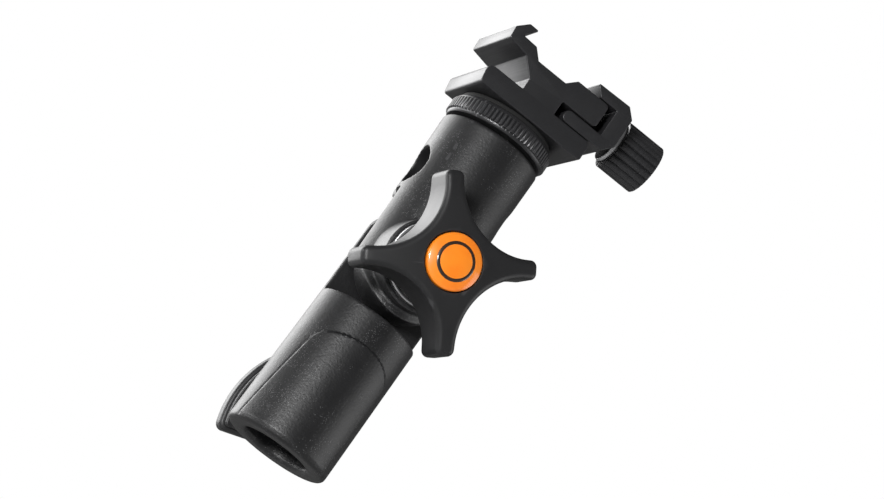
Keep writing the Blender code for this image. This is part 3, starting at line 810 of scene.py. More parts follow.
@dataclass(frozen=True)
class TurnedMetal:
    """Bare or plated metal with lathe marks round one axis."""

    name: str
    base: Triple
    gloss: float
    centre: Triple
    across: Triple
    darker: float = 0.72
    stain: float = 420.0
    fineness: float = 5200.0
    line_mm: float = 0.003

    def material(self) -> bpy.types.Material:
        """Builds the material.

        Returns:
            The new material.
        """
        look = Surface(self.name, {"Metallic": 1.0})
        values = {"Centre": self.centre, "Across": self.across, "Fineness": self.fineness}
        marks = look.place_effect(Effects.turning, **values).outputs["Lines"]
        stain = look.noise(look.point, self.stain, 4.0)
        dull = scaled(self.base, self.darker)
        patchy = look.mix(look.ramp(stain, 0.4, 0.75), rgba(self.base), dull)
        look.colour(look.mix(look.ramp(marks, 0.62, 0.8), patchy, dull))
        look.roughness(look.blend(marks, self.gloss - 0.08, self.gloss + 0.16))
        look.relief(marks, self.line_mm)
        return look.material


@dataclass(frozen=True)
class MattSheet:
    """Rubber or friction fibre: matt, with a coarse grain."""

    name: str
    base: Triple
    gloss: float
    fineness: float
    lighter: float = 2.1
    speck_share: float = 0.2
    grain_mm: float = 0.03

    def material(self) -> bpy.types.Material:
        """Builds the material.

        Returns:
            The new material.
        """
        look = Surface(self.name, {"Specular IOR Level": 0.35})
        height = look.grain(self.fineness, self.speck_share).outputs["Height"]
        look.colour(look.mix(height, rgba(self.base), scaled(self.base, self.lighter)))
        look.roughness(look.blend(height, self.gloss - 0.1, self.gloss + 0.08))
        look.relief(height, self.grain_mm)
        return look.material


@dataclass(frozen=True)
class GlossCap:
    """Glossy domed resin with a clear coat, orange or, for its ring, near black."""

    name: str
    base: Triple
    deep: Triple
    cloud: float = 240.0
    fleck: Triple = (1.0, 0.62, 0.3)
    fleck_share: float = 0.3
    fleck_strength: float = 0.1
    fineness: float = 5200.0
    ripple_mm: float = 0.02
    ripple_strength: float = 0.3

    def material(self) -> bpy.types.Material:
        """Builds the material.

        Returns:
            The new material.
        """
        coat = {"Coat Weight": 1.0, "Coat Roughness": 0.06, "Specular IOR Level": 0.4}
        look = Surface(self.name, coat)
        cloud = look.noise(look.point, self.cloud, 3.0)
        flecks = look.grain(self.fineness, self.fleck_share).outputs["Specks"]
        shade = look.mix(look.ramp(cloud, 0.35, 0.7), rgba(self.base), rgba(self.deep))
        look.colour(look.tint(flecks, self.fleck_strength, shade, self.fleck))
        look.roughness(look.blend(cloud, 0.3, 0.4))
        look.relief(cloud, self.ripple_mm, self.ripple_strength)
        return look.material


@dataclass(frozen=True)
class Finishes:
    """The materials that the pieces wear."""

    casting: bpy.types.Material
    plastic: bpy.types.Material
    extrusion: bpy.types.Material
    turned_black: bpy.types.Material
    washer_steel: bpy.types.Material
    screw_steel: bpy.types.Material
    zinc: bpy.types.Material
    brass: bpy.types.Material
    rubber: bpy.types.Material
    fibre: bpy.types.Material
    orange: bpy.types.Material
    cap_ring: bpy.types.Material

    @classmethod
    def mixed(cls, layout: Layout) -> "Finishes":
        """Builds every material.

        Args:
            layout: the frame's layout, for the axes that turned metal is marked round.

        Returns:
            The materials.
        """
        tilt_axis = {"centre": (0.0, 0.0, layout.pivot_z * MM), "across": (1.0, 0.0, 1.0)}
        clamp_axis = {"centre": (0.0, 0.0, layout.clamp_z * MM), "across": (0.0, 1.0, 1.0)}
        round_z = (1.0, 1.0, 0.03)
        orange, deep_orange = (1.0, 0.27, 0.012), (1.0, 0.235, 0.008)
        dark, deep_dark = (0.022, 0.012, 0.006), (0.03, 0.016, 0.008)
        recipes = {
            "casting": PowderCoat(),
            "plastic": MouldedPlastic(),
            "extrusion": Anodised(),
            "turned_black": Anodised("black_anodised_turned", stretch=round_z, gloss=0.33),
            "washer_steel": TurnedMetal("bright_steel_washer", (0.62, 0.62, 0.63), 0.24, **tilt_axis),
            "screw_steel": TurnedMetal("bright_steel_screw", (0.6, 0.6, 0.61), 0.26, **clamp_axis),
            "zinc": TurnedMetal("zinc_plate", (0.5, 0.5, 0.47), 0.36, **tilt_axis),
            "brass": TurnedMetal("turned_brass", (0.72, 0.5, 0.21), 0.3, **tilt_axis),
            "rubber": MattSheet("black_rubber", (0.004, 0.004, 0.004), 0.8, 1900.0),
            "fibre": MattSheet("friction_fibre", (0.03, 0.026, 0.022), 0.9, 1300.0),
            "orange": GlossCap("orange_cap", orange, deep_orange),
            "cap_ring": GlossCap("cap_ring_dark", dark, deep_dark),
        }
        return cls(**{use: recipe.material() for use, recipe in recipes.items()})


# ---------------------------------------------------------------- sub-assemblies


class Slot(Enum):
    """The record's material slots, passed along with each built piece."""

    CASTING = "black_casting"
    PLASTIC = "black_plastic"
    ANODISED = "black_anodised"
    STEEL = "bright_steel"
    ZINC = "zinc_plate"
    RUBBER = "black_rubber"
    ORANGE = "orange_cap"


@dataclass
class Bench:
    """Where the sub-assemblies are put together, with the names of the pieces so far."""

    pieces: list[str] = field(default_factory=list)

    def dress(
        self, obj: bpy.types.Object, body: str, look: bpy.types.Material, slot: Slot, *nodes: str
    ) -> bpy.types.Object:
        """Gives a finished piece its material and shading, and rides it on its body.

        Args:
            obj: the piece, in place.
            body: the body that carries it.
            look: its material.
            slot: the record's slot for that finish; not used.
            *nodes: the CAD nodes that it stands for.

        Returns:
            The same piece.
        """
        obj.data.materials.clear()
        obj.data.materials.append(look)
        obj.data.shade_smooth()
        obj.data.set_sharp_from_angle(angle=SHARP_ANGLE)
        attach(obj, body)
        if nodes:
            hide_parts(*nodes)
        self.pieces.append(obj.name)
        LOG.info("%s: %d faces on %s", obj.name, len(obj.data.polygons), body)
        return obj

    def carry_over(self, node: str, look: bpy.types.Material) -> None:
        """Gives a CAD node that stays in view its material.

        Args:
            node: the node's name.
            look: its material.
        """
        for slot in frame["nodes"][node].material_slots:
            slot.material = look
        LOG.info("%s: carried over", node)


EXTRUDED = Matrix.Rotation(pi / 2, 4, "X")  # a flat outline's x and y to X and Z, its depth to -Y


def holed(corners: Corners, sides: int = 128) -> bmesh.types.BMesh:
    """A turned ring.

    Args:
        corners: the (radius, height, rounding) of each corner of its closed section.
        sides: the number of points round.

    Returns:
        The new mesh.
    """
    section = fillet(corners, closed=True)
    rings = [circle(p.x, p.y, sides) for p in section]
    bm = loft([*rings, circle(section[0].x, section[0].y, sides)], closed=False)
    bmesh.ops.remove_doubles(bm, verts=bm.verts, dist=MERGED)
    return bm


def boss(
    radius: float, root: float, face: float, edge: float, sides: int = 96
) -> bmesh.types.BMesh:
    """A round boss to join on, from its root inside the casting to its rounded face."""
    return turned([(0, root, 0), (radius, root, 0), (radius, face, edge), (0, face, 0)], sides)


def hexagon(across_corners: float, levels: Sequence[tuple[float, float]]) -> bmesh.types.BMesh:
    """A hexagonal head with its corners turned off.

    Args:
        across_corners: the radius through the corners.
        levels: the (height, limit) of each ring, where limit is the largest radius left.

    Returns:
        The new mesh.
    """
    sides, rings = 96, []
    for height, limit in levels:
        ring = []
        for i in range(sides):
            angle = tau * i / sides
            from_flat = (angle + pi / 6) % (pi / 3) - pi / 6
            reach = min(across_corners * cos(pi / 6) / cos(from_flat), limit)
            ring.append(Vector((reach * cos(angle), reach * sin(angle), height)))
        rings.append(ring)
    return loft(rings)


def half_round_block(radius: float, centre_z: float, end_z: float) -> bmesh.types.BMesh:
    """A wide block along Y that ends in a half round.

    Args:
        radius: the radius of the half round.
        centre_z: the height of its centre.
        end_z: the height of the block's square end, above or below.

    Returns:
        The new mesh.
    """
    way = 1 if end_z > centre_z else -1
    wide, steps = WIDE + 2, 72
    arc = [-way * pi * i / steps for i in range(steps + 1)]
    outline = [(radius * cos(a), centre_z + radius * sin(a)) for a in arc]
    outline += [(-wide, centre_z), (-wide, end_z), (wide, end_z), (wide, centre_z)]
    return place(loft([[Vector((x, z, depth)) for x, z in outline] for depth in (-wide, wide)]), EXTRUDED)


@dataclass
class StandSocket:
    """The lower barrel: the stand socket, its arched panel and the tongue round the pivot."""

    mouth_z: float = 0.01
    mouth_radius: float = 13.0
    mouth_round: float = 1.2
    barrel_radius: float = 12.65
    shoulder_z: float = 36.2
    stock_above_pivot: float = 18.0
    bore_radius: float = 8.1
    bore_depth: float = 31.0
    bore_flare: float = 2.7
    flare_end: float = 0.7
    tongue_radius: float = 12.9
    rubbing_y: float = 0.8
    bolt_boss: Triple = (9.4, 5.4, 12.4)
    boss_edge: float = 0.5
    bolt_hole: float = 4.3
    head_pocket: float = 7.8
    lock_boss: tuple[float, float] = (8.0, 13.5)
    pad_hole: tuple[float, float] = (3.9, 10.6)
    screw_hole: float = 3.3
    panel_radius: float = 13.14
    panel_left: Triple = (194.8, 216.5, 24.0)
    panel_right_x: float = 10.0
    arch_left_x: float = 10.2
    arch_power: float = 0.8
    arch_slope: float = 0.8
    panel_spring_z: float = 22.5
    panel_top_z: float = 28.5
    panel_foot_z: float = 1.3
    panel_step: float = 0.32
    groove_width: float = 0.3
    groove_depth: float = 0.26
    groove_foot_z: float = 0.4
    groove_past_top: float = 0.6
    groove_fade: float = 0.8
    voxel: float = 0.31
    smoothing: int = 4

    def build(self, layout: Layout) -> bpy.types.Object:
        """Builds the casting.

        Args:
            layout: the frame's layout.

        Returns:
            The casting, in place.
        """
        pivot = layout.pivot_z
        profile = [
            (0, self.mouth_z, 0),
            (self.mouth_radius, self.mouth_z, self.mouth_round),
            (self.barrel_radius, self.shoulder_z, 0),
            (self.barrel_radius, pivot + self.stock_above_pivot, 0),
            (0, pivot + self.stock_above_pivot, 0),
        ]
        body = to_object("socket_casting", turned(profile, 160))
        carve(body, "INTERSECT", [half_round_block(self.tongue_radius, pivot, -PAST)])
        high = pivot + (WIDE + PAST)
        far_half = block((-WIDE, -WIDE, self.shoulder_z), (WIDE, self.rubbing_y, high))
        carve(body, "DIFFERENCE", [far_half])
        away = along(Axis.FAR, z=pivot)
        lock = along(Axis.FAR, z=layout.stand_lock_z)
        self.add_bosses(body, away, lock)
        self.bore_out(body, away, lock)
        cast(body, self.voxel, self.smoothing)
        self.raise_panel(body)
        return body

    def add_bosses(self, body: bpy.types.Object, away: Matrix, lock: Matrix) -> None:
        """Joins the bolt's boss and the stand lock's boss to the barrel.

        Args:
            body: the casting.
            away: the frame along the pivot, pointing away from the knob.
            lock: the frame along the stand lock's screw.
        """
        lock_radius, lock_face = self.lock_boss
        bosses = [
            place(boss(*self.bolt_boss, self.boss_edge), away),
            place(bar(lock_radius, self.bore_radius + 1, lock_face), lock),
        ]
        carve(body, "UNION", bosses)

    def bore_out(self, body: bpy.types.Object, away: Matrix, lock: Matrix) -> None:
        """Cuts the socket's bore, the lock's holes, the bolt's hole and its head's pocket.

        Args:
            body: the casting.
            away: the frame along the pivot, pointing away from the knob.
            lock: the frame along the stand lock's screw.
        """
        seat, out = self.bolt_boss[1], -2
        flared = self.bore_radius + self.bore_flare
        bore = [
            (0, out, 0),
            (flared, out, 0),
            (self.bore_radius, self.flare_end, 0.4),
            (self.bore_radius, self.bore_depth, 0.6),
            (0, self.bore_depth, 0),
        ]
        uncut = 99.0
        pocket = hexagon(self.head_pocket, [(seat, uncut), (WIDE, uncut)])
        cuts = [
            turned(bore, 128),
            place(bar(self.pad_hole[0], 0, self.pad_hole[1], 48), lock),
            place(bar(self.screw_hole, 0, WIDE, 48), lock),
            place(bar(self.bolt_hole, -PAST, WIDE, 48), away),
            place(pocket, away),
        ]
        carve(body, "DIFFERENCE", cuts)

    def within_sides(
        self, x: np.ndarray, y: np.ndarray, z: np.ndarray
    ) -> tuple[np.ndarray, np.ndarray]:
        """How far points of the skin lie inside the panel's sides, measured round the barrel.

        Args:
            x: the points' x in millimetres.
            y: their y.
            z: their height.

        Returns:
            The distances from the left edge, which leans, and from the right edge.
        """
        past_top = 1.15
        reach = np.hypot(x, y)
        angle = np.degrees(np.arctan2(y, x)) % 360
        foot, top, top_z = self.panel_left
        left_edge = foot + (top - foot) * np.clip(z / top_z, 0, past_top)
        right_edge = 360 - np.degrees(np.arccos(self.panel_right_x / self.panel_radius))
        return np.radians(angle - left_edge) * reach, np.radians(right_edge - angle) * reach

    def under_arch(self, x: np.ndarray, z: np.ndarray) -> np.ndarray:
        """How far points of the skin lie below the panel's arch.

        Args:
            x: the points' x in millimetres.
            z: their height.

        Returns:
            The distances, eased by the arch's slope.
        """
        span = np.where(x > 0, self.panel_right_x, self.arch_left_x)
        sweep = np.sqrt(np.clip(1 - (x / span) ** 2, 0, 1))
        rise = self.panel_top_z - self.panel_spring_z
        return (self.panel_spring_z + rise * sweep**self.arch_power - z) * self.arch_slope

    def raise_panel(self, body: bpy.types.Object) -> None:
        """Lifts the arched panel out of the barrel's skin, and sinks the groove along its left edge.

        Args:
            body: the casting.
        """
        mesh = body.data
        count = len(mesh.vertices)
        points, normals = np.empty(count * 3), np.empty(count * 3)
        mesh.vertices.foreach_get("co", points)
        mesh.vertices.foreach_get("normal", normals)
        points, normals = points.reshape(-1, 3) / MM, normals.reshape(-1, 3)
        x, y, z = points.T
        reach = np.hypot(x, y)
        outward = (x * normals[:, 0] + y * normals[:, 1]) / np.maximum(reach, NONZERO)

        left, right = self.within_sides(x, y, z)
        edges = [left, right, self.under_arch(x, z), z - self.panel_foot_z]
        share = np.clip(np.minimum.reduce(edges) / self.panel_step + 0.5, 0, 1)
        barrel = self.mouth_radius + (self.barrel_radius - self.mouth_radius) * z / self.shoulder_z
        lift = np.maximum(self.panel_radius - barrel, 0) * share * share * (3 - 2 * share)

        end_z = self.panel_left[2] + self.groove_past_top
        foot_fade = np.clip((z - self.groove_foot_z) / self.groove_fade, 0, 1)
        fade = foot_fade * np.clip((end_z - z) / self.groove_fade, 0, 1)
        groove = self.groove_depth * np.exp(-((left / self.groove_width) ** 2)) * fade

        least_outward, least_reach, behind, above = 0.75, 11.5, -1, self.panel_top_z + 2
        skin = (outward > least_outward) & (reach > least_reach)
        near = skin & (y < behind) & (z < above)
        change = np.where(near, lift - groove, 0) / np.maximum(reach, NONZERO)
        points[:, 0] += x * change
        points[:, 1] += y * change
        mesh.vertices.foreach_set("co", (points * MM).ravel())
        mesh.update()


@dataclass
class Head:
    """The upper barrel: the cheek and boss round the pivot, and the umbrella shaft's hole."""

    foot_radius: float = 12.4
    foot_z: float = 65.8
    stock_below_pivot: float = 16.0
    top_radius: float = 12.76
    top_z: float = 86.4
    top_edge: float = 0.6
    cheek_radius: float = 12.7
    rubbing_y: float = 0.8
    boss: Triple = (10.8, 6.0, 15.3)
    boss_edge: float = 0.4
    shaft_radius: float = 4.9
    shaft_flare: float = 0.35
    lock_boss: Triple = (6.6, 9.0, 13.2)
    lock_boss_edge: float = 0.5
    pad_hole: tuple[float, float] = (3.2, 7.2)
    screw_hole: float = 2.8
    bolt_hole: float = 4.3
    stud_hole: tuple[float, float] = (3.475, 79.4)
    voxel: float = 0.27
    smoothing: int = 4

    def build(self, layout: Layout) -> bpy.types.Object:
        """Builds the casting.

        Args:
            layout: the frame's layout.

        Returns:
            The casting, leaned with the head.
        """
        pivot, lean = layout.pivot_z, layout.lean
        stock_foot = pivot - self.stock_below_pivot
        low, high = stock_foot - PAST, self.top_z + PAST
        profile = [
            (0, stock_foot, 0),
            (self.foot_radius, stock_foot, 0),
            (self.foot_radius, self.foot_z, 0),
            (self.top_radius, self.top_z, self.top_edge),
            (0, self.top_z, 0),
        ]
        body = to_object("head_casting", turned(profile, 160))
        carve(body, "INTERSECT", [half_round_block(self.cheek_radius, pivot, high)])
        carve(body, "DIFFERENCE", [block((-WIDE, -self.rubbing_y, low), (WIDE, WIDE, self.foot_z))])
        near = along(Axis.NEAR, z=pivot)
        lock = along(Axis.FAR, z=layout.umbrella_z)
        bosses = [
            place(boss(*self.boss, self.boss_edge, 128), near),
            place(boss(*self.lock_boss, self.lock_boss_edge), lock),
        ]
        carve(body, "UNION", bosses)
        cuts = [
            place(lathe(self.shaft_hole(), 96), along(Axis.RIGHT, z=layout.umbrella_z)),
            place(bar(self.pad_hole[0], 0, self.pad_hole[1], 48), lock),
            place(bar(self.screw_hole, 0, WIDE, 48), lock),
            place(bar(self.bolt_hole, -PAST, WIDE, 48), near),
            bar(*self.stud_hole, high, 48),
        ]
        carve(body, "DIFFERENCE", cuts)
        cast(body, self.voxel, self.smoothing)
        body.data.transform(Matrix.Translation(lean.translation * MM) @ lean.to_3x3().to_4x4())
        return body

    def shaft_hole(self) -> Profile:
        """The profile of the umbrella shaft's hole, flared at both ends."""
        end, flare = self.top_radius + 1, 2 * self.shaft_flare
        half = [(0.0, -end), (self.shaft_radius + flare, -end), (self.shaft_radius, flare - end + 1)]
        return half + [(radius, -height) for radius, height in reversed(half)]


@dataclass
class StarKnob:
    """The four-arm knob, its domed cap and the ring on the cap."""

    arms: int = 4
    arm_angle: float = 32.0
    tip_reach: float = 20.5
    half_width: float = 2.2
    tip_round: float = 1.5
    waist: float = 18.0
    arms_back: float = 19.4
    hub: tuple[float, float] = (8.6, 17.7)
    bush_hole: tuple[float, float] = (6.5, 26.3)
    tip_hole: tuple[float, float] = (4.3, 28.6)
    hub_chamfer: float = 0.3
    tip_front: float = 29.7
    centre_front: float = 32.0
    back_edge: float = 1.0
    front_edge: float = 1.3
    cap_radius: float = 6.5
    cap_back: float = 31.0
    cap_wall: float = 32.2
    cap_apex: float = 33.59
    cap_edge: float = 0.45
    seat_gap: float = 0.25
    seat_chamfer: float = 0.2
    ring: tuple[float, float] = (3.75, 4.5)
    ring_rise: float = 0.09

    def outline(self) -> list[Vector]:
        """Round the knob anticlockwise: a rounded arm, then the hollow arc to the next one.

        Returns:
            The flat outline's points.
        """
        points: list[Vector] = []
        tip_steps, arc_steps = 8, 30
        arc = self.waist - self.half_width
        out, aside = self.tip_reach - self.tip_round, self.half_width - self.tip_round
        for arm in range(self.arms):
            turn = Matrix.Rotation(radians(self.arm_angle) + tau * arm / self.arms, 2)
            for side in (-1, 1):
                centre = Vector((out, side * aside))
                for i in range(tip_steps + 1):
                    angle = pi / 2 * (i / tip_steps if side > 0 else i / tip_steps - 1)
                    points.append(turn @ (centre + Vector((cos(angle), sin(angle))) * self.tip_round))
            centre = Vector((self.waist, self.waist))
            for i in range(1, arc_steps):
                angle = -pi / 2 - pi / 2 * i / arc_steps
                points.append(turn @ (centre + Vector((cos(angle), sin(angle))) * arc))
        return points

    def front(self, reach: float) -> float:
        """The height of the knob's domed front at a distance from its axis."""
        rise = self.centre_front - self.tip_front
        sphere = (self.tip_reach**2 + rise**2) / (2 * rise)
        return self.centre_front - sphere + sqrt(sphere**2 - reach**2)

    def bore(self) -> Profile:
        """The bolt's blind hole, the bush's hole and the hub, from the inside out."""
        tip_radius, tip_end = self.tip_hole
        bush_radius, bush_end = self.bush_hole
        hub_radius, hub_end = self.hub
        return [
            (tip_radius, tip_end),
            (tip_radius, bush_end),
            (bush_radius, bush_end),
            (bush_radius, hub_end),
            (hub_radius - self.hub_chamfer, hub_end),
            (hub_radius, hub_end + self.hub_chamfer),
            (hub_radius, self.arms_back),
        ]

    def domed_ring(self, flat: Iterable[Vector], drop: float = 0.0) -> Ring:
        """Lifts a flat outline onto the domed front, or a drop below it."""
        return [Vector((p.x, p.y, self.front(p.length) - drop)) for p in flat]

    def knob(self) -> bmesh.types.BMesh:
        """The knob from its bush hole out over the arms to the cap's seat.

        Returns:
            The new mesh.
        """
        outline = self.outline()
        rays = [p.normalized() for p in outline]

        def round_ring(radius: float, height: float) -> Ring:
            """A round ring whose points lie towards the outline's."""
            return [Vector((ray.x * radius, ray.y * radius, height)) for ray in rays]

        rings: list[Ring] = [[Vector((0, 0, self.tip_hole[1]))]]
        rings += [round_ring(radius, height) for radius, height in self.bore()]
        back_steps, front_steps, front_spans = 6, 8, 10
        for i in range(back_steps + 1):
            angle = pi / 2 * i / back_steps
            height = self.arms_back + self.back_edge * (1 - cos(angle))
            flat = inset(outline, self.back_edge * (1 - sin(angle)))
            rings.append([Vector((p.x, p.y, height)) for p in flat])
        for i in range(front_steps + 1):
            angle = pi / 2 * i / front_steps
            flat = inset(outline, self.front_edge * (1 - cos(angle)))
            rings.append(self.domed_ring(flat, self.front_edge * (1 - sin(angle))))
        seat, rim = self.cap_radius + self.seat_gap, inset(outline, self.front_edge)
        for i in range(1, front_spans + 1):
            share = i / front_spans
            flat = [p.lerp(ray * (seat + self.seat_chamfer), share) for p, ray in zip(rim, rays)]
            rings.append(self.domed_ring(flat))
        floor = self.cap_back - self.seat_gap
        rings.append(round_ring(seat, self.front(seat) - self.seat_chamfer))
        rings.append(round_ring(seat, floor))
        rings.append([Vector((0, 0, floor))])
        return loft(rings)

    def dome(self, reach: float) -> float:
        """The height of the cap's dome at a distance from its axis."""
        rise = self.cap_apex - self.cap_wall
        sphere = (self.cap_radius**2 + rise**2) / (2 * rise)
        return self.cap_apex - sphere + sqrt(sphere**2 - min(reach, self.cap_radius) ** 2)

    def cap(self) -> bmesh.types.BMesh:
        """The domed cap, with a rolled shoulder.

        Returns:
            The new mesh.
        """
        steps, shoulder = 6, 0.8
        profile = [(0.0, self.cap_back), (self.cap_radius, self.cap_back)]
        for i in range(steps + 1):
            angle = pi / 2 * i / steps
            radius = self.cap_radius - self.cap_edge * (1 - cos(angle))
            drop = self.cap_edge * (1 - sin(angle)) * shoulder
            profile.append((radius, self.dome(radius) - drop))
        for share in (0.8, 0.66, 0.5, 0.34, 0.18, 0.08):
            profile.append((self.cap_radius * share, self.dome(self.cap_radius * share)))
        return lathe([*profile, (0.0, self.cap_apex)], 128)

    def cap_ring(self) -> bmesh.types.BMesh:
        """The plain ring on the dome, a thin raised band with rounded sides.

        Returns:
            The new mesh.
        """
        inner, outer = self.ring
        steps, sunk = 6, 0.15
        section = []
        for i in range(steps + 1):
            radius = inner + (outer - inner) * i / steps
            lift = self.ring_rise * sqrt(max(0.0, 1 - (2 * i / steps - 1) ** 4))
            section.append((radius, self.dome(radius) + lift))
        section += [(radius, self.dome(radius) - sunk) for radius in (outer, inner)]
        return holed([(radius, height, 0) for radius, height in section])

    def build(self, layout: Layout) -> list[bpy.types.Object]:
        """Builds the three pieces.

        Args:
            layout: the frame's layout.

        Returns:
            The knob, its cap and the cap's ring, leaned with the head.
        """
        near = layout.lean @ along(Axis.NEAR, z=layout.pivot_z)
        shapes = {"star_knob": self.knob(), "knob_cap": self.cap(), "knob_cap_ring": self.cap_ring()}
        return [to_object(name, place(bm, near)) for name, bm in shapes.items()]


@dataclass
class TiltStack:
    """What clamps the joint: the washer under the knob, and the bolt from the far side."""

    washer: Triple = (9.9, 15.6, 17.4)
    bolt_radius: float = 4.0
    bolt_pitch: float = 1.25
    bolt_ends: tuple[float, float] = (-7.4, 27.0)
    clearance: float = 0.3
    head_corners: float = 7.5
    head_ends: tuple[float, float] = (-11.0, -5.7)
    head_chamfer: tuple[tuple[float, float], ...] = ((0.0, 6.35), (0.5, 7.1))
    head_full: float = 0.85

    def build(self, layout: Layout) -> tuple[bpy.types.Object, bpy.types.Object]:
        """Builds the washer and the bolt.

        Args:
            layout: the frame's layout.

        Returns:
            The washer, leaned with the head, and the bolt, which stays with the stand.
        """
        radius, low, high = self.washer
        inner = self.bolt_radius + self.clearance
        section = [(inner, low, 0.1), (radius, low, 0.3), (radius, high, 0.45), (inner, high, 0.15)]
        near = along(Axis.NEAR, z=layout.pivot_z)
        washer = to_object("tilt_washer_turned", place(holed(section, 160), layout.lean, near))
        back, front = self.head_ends
        uncut = self.head_corners + 0.2
        levels = [(back + depth, limit) for depth, limit in self.head_chamfer]
        levels += [(back + self.head_full, uncut), (front, uncut)]
        bolt = to_object("tilt_bolt_forged", place(hexagon(self.head_corners, levels), near))
        shank = threaded(self.bolt_radius, self.bolt_pitch, *self.bolt_ends)
        return washer, carve(bolt, "UNION", [place(shank, near)])


def turns_right(a: Sequence[float], b: Sequence[float], c: Sequence[float]) -> bool:
    """Whether the way from a through b to c doesn't turn left."""
    return (b[0] - a[0]) * (c[1] - a[1]) - (b[1] - a[1]) * (c[0] - a[0]) <= 0


def hull(points: Iterable[Vector]) -> list[Vector]:
    """The convex outline round a set of flat points.

    Args:
        points: the points, in any order.

    Returns:
        The points of the outline, anticlockwise.
    """
    ordered = sorted({(round(p.x, 4), round(p.y, 4)) for p in points})

    def half(run: Iterable[tuple[float, float]]) -> list[tuple[float, float]]:
        """The outline along one side of a sorted run, without its last point."""
        kept: list[tuple[float, float]] = []
        for point in run:
            while len(kept) > 1 and turns_right(kept[-2], kept[-1], point):
                kept.pop()
            kept.append(point)
        return kept[:-1]

    return [Vector(p) for p in half(ordered) + half(reversed(ordered))]


def even_spread(outline: list[Vector], count: int) -> list[Vector]:
    """Spaces the points of a closed outline evenly.

    Args:
        outline: the outline.
        count: the number of points wanted.

    Returns:
        The same outline with that many points.
    """
    ends = outline[1:] + outline[:1]
    lengths = [(b - a).length for a, b in zip(outline, ends)]
    step, total, slack = sum(lengths) / count, 0.0, 1e-9
    points: list[Vector] = []
    for start, end, length in zip(outline, ends, lengths):
        while len(points) * step < total + length - slack and len(points) < count:
            points.append(start.lerp(end, (len(points) * step - total) / length))
        total += length
    return points


@dataclass
class StandLock:
    """The wing knob behind the socket, and its threaded screw."""

    hub: Triple = (0.0, 0.0, 8.0)
    corners: tuple[Triple, ...] = ((-7.2, 9.2, 1.0), (-8.1, -9.6, 1.6))
    fan_centre: tuple[float, float] = (13.57, -1.82)
    fan_radius: float = 24.7
    fan_angles: tuple[float, float] = (152.5, 199.5)
    plate_y: tuple[float, float] = (18.7, 22.7)
    step_y: tuple[float, float] = (16.9, 19.4)
    step_inset: float = 1.0
    step_edge: float = 0.35
    edge: float = 0.9
    hole_back: float = 10.0
    hole: tuple[float, float] = (3.3, 21.9)
    screw: tuple[float, float, float, float] = (3.0, 1.0, 10.3, 21.6)

    def outline(self) -> list[Vector]:
        """Round the knob: its fan end and corners, and the round hub.

        Returns:
            The flat outline's points, evenly spaced.
        """
        points, centre = [], Vector(self.fan_centre)
        for x, z, radius in (self.hub, *self.corners):
            points += [Vector((x + p.x, z + p.y)) for p in circle(radius, 0.0, 96)]
        low, high = (radians(a) for a in self.fan_angles)
        steps = 24
        for i in range(steps + 1):
            angle = low + (high - low) * i / steps
            points.append(centre + self.fan_radius * Vector((cos(angle), sin(angle))))
        return even_spread(hull(points), 200)

    def build(self, layout: Layout) -> tuple[bpy.types.Object, bpy.types.Object]:
        """Builds the knob and its screw.

        Args:
            layout: the frame's layout.

        Returns:
            The knob and the screw, in place.
        """
        here = Matrix.Translation((0, 0, layout.stand_lock_z)) @ EXTRUDED
        outline = self.outline()
        wing = plate(outline, -self.plate_y[1], -self.plate_y[0], self.edge)
        knob = to_object("stand_lock_wing", place(wing, here))
        step = plate(inset(outline, self.step_inset), -self.step_y[1], -self.step_y[0], self.step_edge)
        carve(knob, "UNION", [place(step, here)])
        away = along(Axis.FAR, z=layout.stand_lock_z)
        radius, end = self.hole
        carve(knob, "DIFFERENCE", [place(bar(radius, self.hole_back, end, 64), away)])
        return knob, to_object("stand_lock_thread", place(threaded(*self.screw), away))


def ridged(
    radius: float, ridges: int, depth: float, low: float, high: float, edge: float
) -> bmesh.types.BMesh:
    """A knob with rounded ridges between V grooves, and rounded ends.

    Args:
        radius: the radius over the ridges.
        ridges: their number.
        depth: the depth of the grooves.
        low: the height of one end.
        high: the height of the other.
        edge: the radius of the rounded ends.

    Returns:
        The new mesh.
    """
    steps, sides_per_ridge, sharpness = 6, 14, 1.5
    turns = [pi / 2 * k / steps for k in range(steps + 1)]
    levels = [(low, 3 * edge), *((low + edge * (1 - cos(a)), edge * (1 - sin(a))) for a in turns)]
    levels += [(low + high - height, shrink) for height, shrink in reversed(levels)]

    def radius_at(angle: float) -> float:
        """The radius over a ridge or in a groove."""
        return radius - depth * (1 - abs(sin(ridges * angle / 2))) ** sharpness

    return grooved(radius_at, levels, ridges * sides_per_ridge)


@dataclass
class UmbrellaLock:
    """The ridged knob behind the head, and its threaded screw."""

    knob: tuple[float, int, float, float, float, float] = (7.0, 14, 0.75, 17.6, 25.59, 0.6)
    hole: tuple[float, float] = (2.8, 24.5)
    hole_back: float = 10.0
    screw: tuple[float, float, float, float] = (2.5, 0.8, 6.9, 24.2)

    def build(self, layout: Layout) -> tuple[bpy.types.Object, bpy.types.Object]:
        """Builds the knob and its screw.

        Args:
            layout: the frame's layout.

        Returns:
            The knob and the screw, leaned with the head.
        """
        away = layout.lean @ along(Axis.FAR, z=layout.umbrella_z)
        knob = to_object("umbrella_lock_grip", place(ridged(*self.knob), away))
        radius, end = self.hole
        carve(knob, "DIFFERENCE", [place(bar(radius, self.hole_back, end, 64), away)])
        return knob, to_object("umbrella_lock_thread", place(threaded(*self.screw), away))


